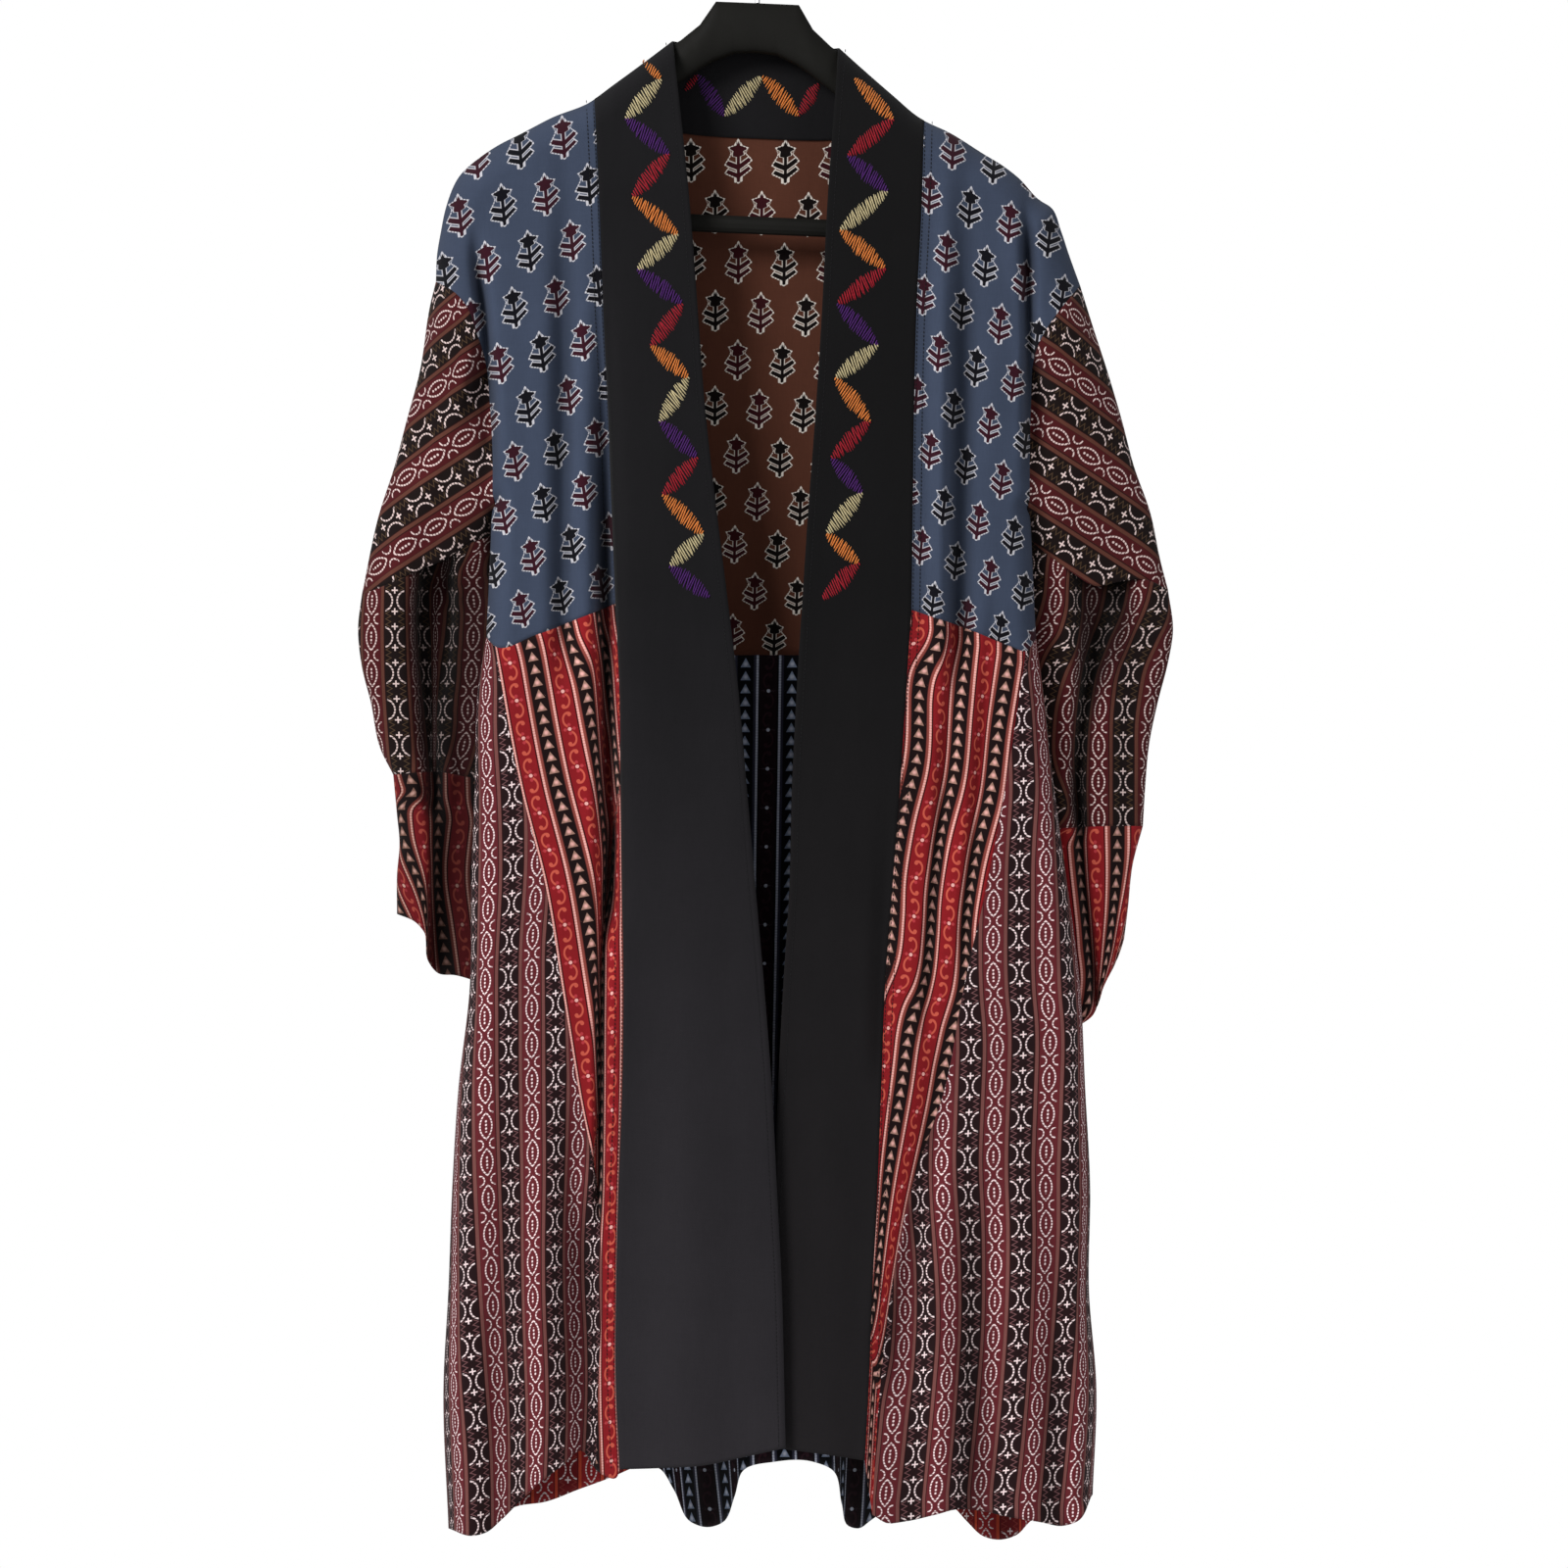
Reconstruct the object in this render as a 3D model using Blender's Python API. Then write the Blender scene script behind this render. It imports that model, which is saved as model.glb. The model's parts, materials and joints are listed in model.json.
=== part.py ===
"""Kimono duster on a suit hanger: patchwork cloth panels, each a thin wall with its large folds, and the hanger.

Metres, +Z up, the front faces -Y. The origin is where the hook bears on the rail.
Tables are in millimetres: across (+ to the right, seen from the front), down below the origin, forward to the front.
"""
import math

import bmesh
import bpy
import numpy as np

MM = 0.001

# Cloth and seams
CLOTH = 1.6
BAND_CLOTH = 2.2
SEAM = 0.4
ARMHOLE_GAP = 0.8
NUDGE = 0.4
LINE_STEP = 2.0
SLOPE_STEP = 0.1

# The outlines are measured in the hanger's plane, seen from here
EYE_ACROSS = 18.7
EYE_DOWN = 678.6
EYE_AWAY = 2200.0

# Hanger
TILT = math.radians(2.4)
HOOK_INNER_RADIUS = 20.0
HOOK_WIRE = 3.8
HOOK_START, HOOK_TURN, HOOK_STEPS = -50.0, 250.0, 16
HOOK_STEM = ((0, 57.2), (0, 51.7), (3, 48.7), (9, 45.2))
ARM_SEGMENTS = 12
RIDGE_GAP = 2.4
BAR_END = 199.6
BAR_TOP, BAR_BOTTOM, BAR_HALF_DEPTH = 227.0, 241.0, 4.0

# Hanger body, half of it
HANGER = (
    # offset from its middle, top down, bottom down, half thickness, sharpness of its upper and lower edge
    (0, 57.7, 96.4, 8.0, 0.6),
    (17, 57.7, 98.0, 8.0, 0.6),
    (33, 57.7, 105.0, 8.0, 0.6),
    (45, 76.5, 113.0, 8.0, 0.8),
    (60, 89.5, 123.5, 7.0, 1.0),
    (66, 93.1, 128.0, 6.0, 1.2),
    (86, 109.6, 141.0, 6.5, 1.3),
    (111, 129.6, 158.0, 7.5, 1.3),
    (131, 145.1, 170.0, 8.5, 1.3),
    (158, 157.1, 184.0, 9.5, 1.3),
    (186, 173.1, 200.0, 10.0, 1.3),
    (200, 180.8, 208.0, 10.0, 1.3),
    (200.3, 181.0, 243.0, 10.0, 1.3),
    (213, 190.0, 243.0, 9.0, 1.3),
    (221, 199.0, 238.0, 7.5, 1.3),
    (225, 210.0, 228.0, 5.0, 1.3),
)
SHOULDER_OFFSETS = (66, 86, 111, 131, 158, 186, 200, 213)
TIP_OFFSET, TIP_DOWN = 231, 205

# How far the front and the back hang from the hanger's plane, and how far forward their side edges lie
HANG = (
    # down, front forward, back backward, side edge forward, rounding at the ridge
    (90, 14, 15, 0, 12),
    (130, 19, 20, 0, 17),
    (200, 26, 27, 0, 23),
    (300, 29, 30, 0, 24),
    (440, 32, 33, 0, 22),
    (470, 33, 34, 5, 21),
    (500, 34, 35, 11, 20),
    (560, 36, 36, 13, 20),
    (760, 40, 38, 14, 20),
    (900, 43, 40, 8, 22),
    (1100, 47, 45, 0, 26),
    (1290, 50, 50, 0, 28),
)
RIDGE_ROUNDNESS = 0.6
FRONT_SIDE_ROUNDING, BACK_SIDE_ROUNDING = 18.0, 45.0
ARM_CREASE, ARM_CREASE_WIDTH = 9.0, 14.0
ARM_CREASE_START, ARM_CREASE_FULL = 300.0, 360.0
LAP_START, LAP_END, LAP_DEPTH = 780.0, 950.0, 5.0
LAP_INNER, LAP_OUTER = 30.0, 110.0

# Seams and edges of each front, as (across, down)
LEFT = dict(
    hand=-1,
    band_start=126,
    beyond_tip=((-250, 220), (-254, 239), (-257, 257), (-258, 279)),
    armhole=((-258, 279), (-245, 286), (-234, 298), (-226, 320), (-219, 341), (-215, 377), (-213, 413), (-213, 456)),
    side_top=((-213, 456), (-214, 475), (-215, 500), (-216, 523), (-218, 562)),
    yoke_seam=((-218, 562), (-211, 569), (-179, 560), (-145, 547), (-115, 535)),
    hem_side=((-248, 1271), (-231, 1277), (-218, 1274), (-206, 1264), (-194, 1252), (-176, 1235), (-158, 1221),
              (-143, 1209), (-131, 1224)),
    hem_panel=((-131, 1224), (-126, 1228), (-115, 1231), (-112, 1224)),
    hem_band=((-112, 1224), (-79, 1223), (-46, 1221), (-12, 1214), (20, 1207)),
    back_hem_side=((-248, 1271), (-231, 1268), (-211, 1260), (-192, 1253), (-172, 1250), (-145, 1240), (-118, 1230),
                   (-102, 1223)),
    sleeve_outer=((-258, 279), (-262, 295), (-271, 351), (-281, 388), (-291, 426), (-303, 463), (-317, 528)),
    low_outer=((-317, 528), (-320, 554), (-317, 585), (-310, 613), (-302, 651), (-292, 671)),
    cuff_outer=((-292, 671), (-289, 703), (-287, 725), (-289, 751), (-289, 782)),
    sleeve_seam=((-317, 528), (-293, 518), (-271, 508), (-250, 499), (-231, 486), (-219, 480)),
    cuff_seam=((-292, 671), (-257, 669), (-224, 675)),
    cuff_hem=((-289, 782), (-274, 789), (-268, 796), (-264, 820), (-257, 829), (-242, 831), (-228, 837)),
    sleeve_inner=((-213, 456), (-218, 467), (-219, 480)),
    low_inner=((-219, 480), (-217, 500), (-215, 525), (-216, 554), (-220, 601), (-222, 647), (-224, 675)),
    cuff_inner=((-224, 675), (-226, 725), (-227, 780), (-228, 837)),
)
RIGHT = dict(
    hand=1,
    band_start=137,
    beyond_tip=((231, 220), (239, 239), (245, 257), (254, 282)),
    armhole=((254, 282), (237, 303), (225, 321), (218, 339), (215, 377), (214, 421), (214, 460)),
    side_top=((214, 460), (215, 478), (216, 500), (217, 523), (219, 563)),
    yoke_seam=((219, 563), (211, 573), (199, 569), (167, 556), (120, 540)),
    hem_side=((264, 1244), (253, 1265), (241, 1269), (222, 1266), (198, 1262), (175, 1257), (155, 1256), (140, 1260),
              (112, 1266), (101, 1267), (89, 1260)),
    hem_panel=((89, 1260), (84, 1225), (83, 1217)),
    hem_band=((83, 1217), (50, 1212), (3, 1206)),
    back_hem_side=((264, 1244), (250, 1254), (233, 1256), (215, 1265), (204, 1276), (190, 1280), (177, 1277),
                   (165, 1266), (151, 1252), (128, 1246), (107, 1250)),
    sleeve_outer=((254, 282), (264, 314), (276, 351), (287, 388), (297, 426), (310, 463), (318, 501), (324, 524)),
    low_outer=((324, 524), (328, 557), (324, 582), (316, 613), (309, 647), (306, 679), (304, 712)),
    cuff_outer=((304, 712), (296, 742), (292, 778), (289, 802)),
    sleeve_seam=((324, 524), (307, 516), (288, 517), (267, 521), (249, 511), (231, 497), (220, 484)),
    cuff_seam=((304, 712), (276, 712), (235, 714)),
    cuff_hem=((289, 802), (285, 815), (274, 838), (264, 863), (253, 875)),
    sleeve_inner=((214, 460), (219, 471), (220, 484)),
    low_inner=((220, 484), (218, 504), (217, 530), (221, 569), (226, 616), (231, 671), (235, 714)),
    cuff_inner=((235, 714), (239, 757), (246, 811), (253, 875)),
)

# Long seams at each level: for the left and the right front the band's inner and outer edge,
# the seam between the two lower panels, the side edge, and the same seam on the back
LEVELS = (
    # down, band inner, band outer, panel, side, back panel; then the right ones
    (220, -56, -128, None, None, None, 53, 128, None, None, None),
    (300, -50, -125, None, None, None, 49, 124, None, None, None),
    (380, -44, -121, None, None, None, 44, 122, None, None, None),
    (460, -35, -118, None, None, None, 38, 121, None, None, None),
    (600, -18, -112, -206, -224, -206, 29, 116, 207, 224, 206),
    (680, -11, -111, -191, -227, -192, 25, 111, 195, 233, 192),
    (760, -4, -110, -171, -230, -176, 23, 105, 180, 244, 176),
    (840, 3, -109, -158, -231, -160, 18, 99, 162, 254, 160),
    (920, 9, -110, -145, -240, -144, 14, 96, 147, 258, 144),
    (1000, 13, -113, -130, -245, -131, 11, 93, 120, 262, 131),
    (1080, 17, -115, -126, -248, -120, 7, 89, 104, 261, 121),
    (1160, 19, -115, -129, -252, -111, 5, 86, 95, 267, 113),
)
YOKE_LEVELS = (200, 500)
LOW_LEVELS = (560, 1200)
YOKE_END = 545
BACK_SEAM = ((-218, 562), (-211, 573), (-168, 576), (0, 576), (167, 576), (211, 573), (219, 563))
BACK_HEM = ((-102, 1223), (-81, 1223), (-69, 1240), (-55, 1266), (-42, 1270), (-30, 1266), (-21, 1246), (-14, 1225),
            (11, 1218), (42, 1218), (58, 1225), (65, 1252), (70, 1269), (78, 1271), (87, 1265), (107, 1250))
BACK_SEAM_MIDDLE = ((-118, 576), (118, 576))
BACK_CORNER = (211, 573)
NECK_MIDDLE_TOP = (0, 92)
NECK_MIDDLE_BOTTOM = ((-98, 154), (-60, 161), (0, 165), (58, 166), (97, 162))

# Large folds of the front: hand, across and down at the top, across and down at the bottom, half width, forward
FRONT_FOLDS = (
    (-1, -157, 250, -158, 470, 12, -4),
    (-1, -122, 430, -118, 760, 9, -5),
    (-1, -152, 830, -137, 1230, 12, -17),
    (-1, -172, 880, -176, 1270, 13, 7),
    (-1, -206, 900, -212, 1290, 12, -8),
    (-1, -60, 640, -70, 1230, 30, 4),
    (1, 165, 260, 160, 500, 14, -4),
    (1, 102, 660, 96, 880, 9, -7),
    (1, 160, 780, 108, 1130, 13, -11),
    (1, 138, 900, 142, 1290, 12, 8),
    (1, 168, 900, 172, 1290, 11, -9),
    (1, 200, 880, 204, 1290, 13, 7),
    (1, 232, 940, 236, 1290, 11, -8),
    (1, 55, 640, 48, 1220, 26, 4),
)
# Large folds of the back: across and down at the top, across and down at the bottom, half width, backward
BACK_FOLDS = (
    (-205, 760, -222, 1290, 15, 8),
    (-150, 700, -176, 1290, 17, -12),
    (-100, 640, -122, 1290, 18, 12),
    (-36, 620, -42, 1290, 18, -22),
    (14, 620, 18, 1290, 20, 12),
    (62, 640, 76, 1290, 17, -22),
    (112, 660, 132, 1290, 18, 12),
    (160, 720, 190, 1290, 18, -14),
    (205, 780, 234, 1290, 14, 8),
)
FOLD_START, FOLD_GROWTH, FOLD_FADE = 180.0, 0.6, 60.0
# Folds of the sleeves' front: hand, place across at the top and the bottom (0 outer, 1 inner),
# start and end down the sleeve (1 is the seam, 2 the cuff, 3 its hem), half width across, forward
SLEEVE_FOLDS = (
    (-1, 0.54, 0.50, 0.85, 3.2, 0.10, -15),
    (-1, 0.80, 0.78, 0.9, 3.2, 0.10, -5),
    (-1, 0.25, 0.22, 0.2, 1.2, 0.14, 3),
    (1, 0.44, 0.56, 0.92, 3.2, 0.10, -15),
    (1, 0.20, 0.25, 1.0, 3.0, 0.10, -4),
    (1, 0.72, 0.75, 0.3, 2.6, 0.12, 3),
)
# The sleeve's section: down the sleeve as above, middle backward, half thickness
SLEEVE_HANG = (
    (0.0, 4, 28),
    (0.5, 9, 25),
    (1.0, 14, 20),
    (1.5, 17, 17),
    (2.0, 18, 16),
    (3.0, 19, 15),
)
SLEEVE_ROUNDING = 3.0
SLEEVE_BLEND = 0.45

# Places of the rows and columns of each grid, as fractions of its height or width
YOKE_ROWS = (0, 0.003, 0.012, 0.032, 0.075, 0.15, 0.24, 0.34, 0.45, 0.56, 0.64, 0.68, 0.78, 0.9, 1)
ARMHOLE_ROWS = 11
ARMHOLE_SHARE = 0.68
YOKE_COLUMNS = (0, 0.04, 0.09, 0.2, 0.31, 0.37, 0.43, 0.5, 0.62, 0.75, 0.88, 1)
SIDE_COLUMNS = (0, 0.03, 0.1, 0.22, 0.36, 0.5, 0.65, 0.82, 1)
BAND_COLUMNS = 4
LOW_ROWS = 12
NECK_SHARE = 0.988
NECK_COLUMNS = (0, 0.02, 0.07, 0.17, 0.33, 0.5, 0.67, 0.83, 0.93, 0.98, 1)
UPPER_SLEEVE_ROWS = 5
LOWER_SLEEVE_ROWS = 5
CUFF_ROWS = 3

# Finishes: colour, roughness
FINISHES = {
    "blue": ((0.055, 0.079, 0.13), 0.9),
    "brown": ((0.10, 0.045, 0.028), 0.9),
    "wine": ((0.075, 0.018, 0.02), 0.9),
    "red": ((0.27, 0.014, 0.02), 0.9),
    "navy": ((0.012, 0.014, 0.028), 0.9),
    "black": ((0.013, 0.014, 0.016), 0.9),
    "hanger": ((0.016, 0.016, 0.014), 0.55),
    "steel": ((0.5, 0.5, 0.5), 0.3),
}


def smooth_line(points):
    """A dense smooth line through the given points."""
    knots = np.array(points, float)
    reach = np.append(0, np.cumsum(np.linalg.norm(np.diff(knots, axis=0), axis=1)))
    slope = np.gradient(knots, reach, axis=0)
    at = np.unique(np.concatenate([np.linspace(a, b, int((b - a) / LINE_STEP) + 2)
                                   for a, b in zip(reach, reach[1:])]))
    i = np.clip(np.searchsorted(reach, at, side="right") - 1, 0, len(reach) - 2)
    span = (reach[i + 1] - reach[i])[:, None]
    t = (at - reach[i])[:, None] / span
    start = (1 + 2 * t) * (1 - t) ** 2 * knots[i] + t * (1 - t) ** 2 * span * slope[i]
    end = t * t * (3 - 2 * t) * knots[i + 1] + t * t * (t - 1) * span * slope[i + 1]
    return start + end


def share(line, fractions):
    """The points at these fractions of a line's length."""
    reach = np.append(0, np.cumsum(np.linalg.norm(np.diff(line, axis=0), axis=1)))
    at = np.array(fractions) * reach[-1]
    return np.stack([np.interp(at, reach, line[:, k]) for k in (0, 1)], -1)


def share_of(line, point):
    """The fraction of a line's length at which it passes a point."""
    reach = np.append(0, np.cumsum(np.linalg.norm(np.diff(line, axis=0), axis=1)))
    return reach[np.argmin(np.linalg.norm(line - point, axis=1))] / reach[-1]


def even(count):
    return np.linspace(0, 1, count + 1)


def patch(top, bottom, outer, inner, u, v):
    """A grid between four edges that meet at the corners: rows run down, columns run from outer to inner."""
    u = np.array(u)[None, :, None]
    v = np.array(v)[:, None, None]
    across = (1 - v) * top[None] + v * bottom[None]
    down = (1 - u) * outer[:, None] + u * inner[:, None]
    corners = (1 - u) * (1 - v) * top[0] + u * (1 - v) * top[-1] + (1 - u) * v * bottom[0] + u * v * bottom[-1]
    return across + down - corners


def smoothstep(x, low, high):
    t = np.clip((x - low) / (high - low), 0, 1)
    return t * t * (3 - 2 * t)


def distance(plane, line):
    """Distance in the hanger's plane from each point to a line."""
    flat = plane.reshape(-1, 1, 2)
    a = line[None, :-1]
    along = np.diff(line, axis=0)[None]
    t = np.clip(((flat - a) * along).sum(-1) / (along ** 2).sum(-1), 0, 1)
    gap = np.linalg.norm(flat - a - t[..., None] * along, axis=-1).min(1)
    return gap.reshape(plane.shape[:-1])


def rounded(gap, radius):
    """Rises from 0 at a ridge to 1 at this distance from it, like a round shoulder."""
    u = np.clip(gap / radius, 0, 1)
    return (1 - (1 - u) ** 2) ** RIDGE_ROUNDNESS


def tilted(offset, down):
    """A point of the upright hanger, turned about the hook as the hanger hangs."""
    return (offset * math.cos(TILT) - down * math.sin(TILT), down * math.cos(TILT) + offset * math.sin(TILT))


def hanger_top(offset):
    return np.interp(abs(offset), [row[0] for row in HANGER], [row[1] for row in HANGER])


def hang(down, column):
    table = np.array(HANG, float)
    return np.interp(down, table[:, 0], table[:, column])


def level_line(column, start, end, first, last):
    """A long seam through the levels between two of its ends."""
    rows = [(row[column], row[0]) for row in LEVELS if row[column] is not None and first < row[0] < last]
    return smooth_line([start, *rows, end])


def lines_of(side):
    """All seams and edges of one front, as dense lines."""
    hand = side["hand"]
    base = 1 if hand < 0 else 6
    ridge = [tilted(hand * x, hanger_top(x) - RIDGE_GAP) for x in SHOULDER_OFFSETS]
    tip = tilted(hand * TIP_OFFSET, TIP_DOWN)
    shoulder = smooth_line([*ridge, tip, *side["beyond_tip"]])[::-1]
    start = np.argmin(abs(shoulder[:, 0] - tilted(hand * side["band_start"], hanger_top(side["band_start"]))[0]))
    lines = {name: smooth_line(side[name]) for name in side if name not in ("hand", "band_start", "beyond_tip")}
    lines["shoulder"] = shoulder[: start + 1]
    lines["neck_ridge"] = shoulder[start:]
    lines["shoulder"][0] = side["armhole"][0]
    yoke_end = side["yoke_seam"][-1]
    neck = tuple(shoulder[-1])
    corner = tuple(shoulder[start])
    panel_top = side["yoke_seam"][1]
    middle_inner = (np.interp(YOKE_END, [row[0] for row in LEVELS], [row[base] for row in LEVELS]), YOKE_END)
    lines["band_outer_top"] = level_line(base + 1, corner, yoke_end, *YOKE_LEVELS)
    lines["band_outer_low"] = level_line(base + 1, yoke_end, side["hem_panel"][-1], *LOW_LEVELS)
    lines["band_inner_top"] = level_line(base, neck, middle_inner, *YOKE_LEVELS)
    lines["band_inner_low"] = level_line(base, middle_inner, side["hem_band"][-1], *LOW_LEVELS)
    lines["panel"] = level_line(base + 2, panel_top, side["hem_side"][-1], *LOW_LEVELS)
    lines["side"] = level_line(base + 3, side["yoke_seam"][0], side["hem_side"][0], *LOW_LEVELS)
    back_corner = (hand * BACK_CORNER[0], BACK_CORNER[1])
    lines["back_panel"] = level_line(base + 4, back_corner, side["back_hem_side"][-1], *LOW_LEVELS)
    lines["ridge"] = np.vstack([shoulder[::-1], lines["sleeve_outer"][1:]])
    lines["side_ridge"] = np.vstack([lines["side_top"], lines["side"][1:]])
    lines["hand"] = hand
    return lines


def folds_at(plane, folds):
    """The sum of the folds: each is a soft ridge or trough along its line, growing from its upper end."""
    total = np.zeros(plane.shape[:-1])
    for x0, y0, x1, y1, width, height in folds:
        run = np.clip((plane[..., 1] - y0) / (y1 - y0), 0, 1)
        middle = x0 + (x1 - x0) * run
        grown = smoothstep(plane[..., 1], y0, y0 + max(FOLD_START, FOLD_GROWTH * (y1 - y0)))
        faded = 1 - smoothstep(plane[..., 1], y1, y1 + FOLD_FADE) if y1 < LOW_LEVELS[1] else 1
        total += height * grown * faded * np.exp(-((plane[..., 0] - middle) / width) ** 2)
    return total


def front_depth(plane, lines):
    """Forward distance of the front cloth from the hanger's plane, as a negative depth."""
    hand = lines["hand"]
    x, down = plane[..., 0], plane[..., 1]
    full, edge, rounding = hang(down, 1), hang(down, 3), hang(down, 4)
    at_ridge = rounded(distance(plane, lines["ridge"]), rounding)
    side_gap = distance(plane, lines["side_ridge"])
    at_side = rounded(side_gap, FRONT_SIDE_ROUNDING)
    crease = ARM_CREASE * (1 - rounded(distance(plane, lines["armhole"][len(lines["armhole"]) // 3:]),
                                       ARM_CREASE_WIDTH))
    crease *= smoothstep(down, ARM_CREASE_START, ARM_CREASE_FULL)
    forward = np.minimum(full * at_ridge, edge + (full - edge) * at_side) - crease * at_side
    own = [row[1:] for row in FRONT_FOLDS if row[0] == hand]
    forward += folds_at(plane, own) * at_side
    lap = smoothstep(down, LAP_START, LAP_END) * (1 - smoothstep(hand * x, LAP_INNER, LAP_OUTER))
    forward += -hand * LAP_DEPTH * lap
    return -forward


def back_depth(plane, left, right):
    """Backward distance of the back cloth from the hanger's plane."""
    down = plane[..., 1]
    full, edge, rounding = hang(down, 2), hang(down, 3), hang(down, 4)
    ridge_gap = np.minimum(distance(plane, left["ridge"]), distance(plane, right["ridge"]))
    side_gap = np.minimum(distance(plane, left["side_ridge"]), distance(plane, right["side_ridge"]))
    at_side = rounded(side_gap, BACK_SIDE_ROUNDING)
    backward = np.minimum(full * rounded(ridge_gap, rounding), (full + edge) * at_side - edge)
    return backward + folds_at(plane, BACK_FOLDS) * at_side


def seen_at(plane, depth):
    """Moves points of the outline along the line of sight to their depth."""
    scale = 1 + depth / EYE_AWAY
    across = EYE_ACROSS + (plane[..., 0] - EYE_ACROSS) * scale
    down = EYE_DOWN + (plane[..., 1] - EYE_DOWN) * scale
    return np.stack([across, depth, -down], -1)


def unit(vectors):
    return vectors / np.maximum(np.linalg.norm(vectors, axis=-1, keepdims=True), 1e-9)


def nudged(plane, ridges):
    """The grid with its rims on a ridge moved a little inwards, where the surface has a slope of its own."""
    moved = plane.copy()
    if "top" in ridges:
        moved[0] += NUDGE * unit(plane[1] - plane[0])
    if "outer" in ridges:
        moved[:, 0] += NUDGE * unit(plane[:, 1] - plane[:, 0])
    if "inner" in ridges:
        moved[:, -1] += NUDGE * unit(plane[:, -2] - plane[:, -1])
    return moved


def sheet(plane, depth_of, facing, ridges=()):
    """Points and outward directions of a cloth sheet, from a grid in the hanger's plane."""
    points = seen_at(plane, depth_of(plane))
    at = nudged(plane, ridges)
    slopes = []
    for shift in ((SLOPE_STEP, 0), (0, SLOPE_STEP)):
        far = at + shift
        near = at - np.array(shift)
        slopes.append(seen_at(far, depth_of(far)) - seen_at(near, depth_of(near)))
    normals = unit(np.cross(slopes[0], slopes[1]))
    normals *= facing * np.sign(normals[..., 1:2])
    for rim, chosen in (("top", np.s_[0]), ("outer", np.s_[:, 0]), ("inner", np.s_[:, -1])):
        if rim in ridges:
            normals[chosen] = unit(normals[chosen] * (1, 0, 1))
    return points, normals


def sewn_to(edge, fractions, points, normals):
    """The sheet with its first row laid along another sheet's last row."""
    reach = np.append(0, np.cumsum(np.linalg.norm(np.diff(edge[0], axis=0), axis=1)))
    at = np.array(fractions) * reach[-1]
    points[0], directions = (np.stack([np.interp(at, reach, row[:, k]) for k in range(3)], -1) for row in edge)
    normals[0] = unit(directions)
    return points, normals


def inset(points, rims):
    """Draws the rims back along the cloth, so that neighbours stay a seam's gap apart."""
    moved = points.copy()
    half = SEAM / 2
    if "ends" in rims:
        moved[0] += half * unit(points[1] - points[0])
        moved[-1] += half * unit(points[-2] - points[-1])
    if "sides" in rims:
        moved[:, 0] += half * unit(points[:, 1] - points[:, 0])
        moved[:, -1] += half * unit(points[:, -2] - points[:, -1])
    return moved


def new_object(name, mesh, finish):
    colour, roughness = FINISHES[finish]
    material = bpy.data.materials.get(finish) or bpy.data.materials.new(finish)
    material.use_nodes = True
    shader = material.node_tree.nodes["Principled BSDF"]
    shader.inputs["Base Color"].default_value = (*colour, 1)
    shader.inputs["Roughness"].default_value = roughness
    shader.inputs["Metallic"].default_value = 1.0 if finish == "steel" else 0.0
    mesh.materials.append(material)
    thing = bpy.data.objects.new(name, mesh)
    COLLECTION.objects.link(thing)
    mesh.shade_smooth()
    return thing


def finished(work, name):
    """The mesh of a closed body, with its faces turned outwards."""
    bmesh.ops.triangulate(work, faces=work.faces)
    bmesh.ops.recalc_face_normals(work, faces=work.faces)
    if work.calc_volume(signed=True) < 0:
        bmesh.ops.reverse_faces(work, faces=work.faces)
    mesh = bpy.data.meshes.new(name)
    work.to_mesh(mesh)
    work.free()
    return mesh


def wall(name, points, normals, finish, thickness=CLOTH, tube=False):
    """A cloth wall: a sheet, or a tube if its columns go all the way round, with a face on each side."""
    rims = ("ends",) if tube else ("ends", "sides")
    middle = inset(points, rims)
    rows, columns = points.shape[:2]
    work = bmesh.new()
    skins = [[[work.verts.new(p * MM) for p in row] for row in middle + normals * offset]
             for offset in (thickness / 2, -thickness / 2)]
    steps = columns if tube else columns - 1
    for skin in skins:
        for r in range(rows - 1):
            for c in range(steps):
                d = (c + 1) % columns
                work.faces.new((skin[r][c], skin[r][d], skin[r + 1][d], skin[r + 1][c]))
    for r in (0, rows - 1):
        for c in range(steps):
            d = (c + 1) % columns
            work.faces.new((skins[0][r][c], skins[0][r][d], skins[1][r][d], skins[1][r][c]))
    for c in () if tube else (0, columns - 1):
        for r in range(rows - 1):
            work.faces.new((skins[0][r][c], skins[0][r + 1][c], skins[1][r + 1][c], skins[1][r][c]))
    return new_object(name, finished(work, name), finish)


def yoke_edge(lines, rows):
    """The outer edge of a yoke: the armhole, then the side down to the seam below it."""
    return np.vstack([share(lines["armhole"], rows[: ARMHOLE_ROWS + 1] / ARMHOLE_SHARE),
                      share(lines["side_top"], (rows[ARMHOLE_ROWS + 1:] - ARMHOLE_SHARE) / (1 - ARMHOLE_SHARE))])


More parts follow.
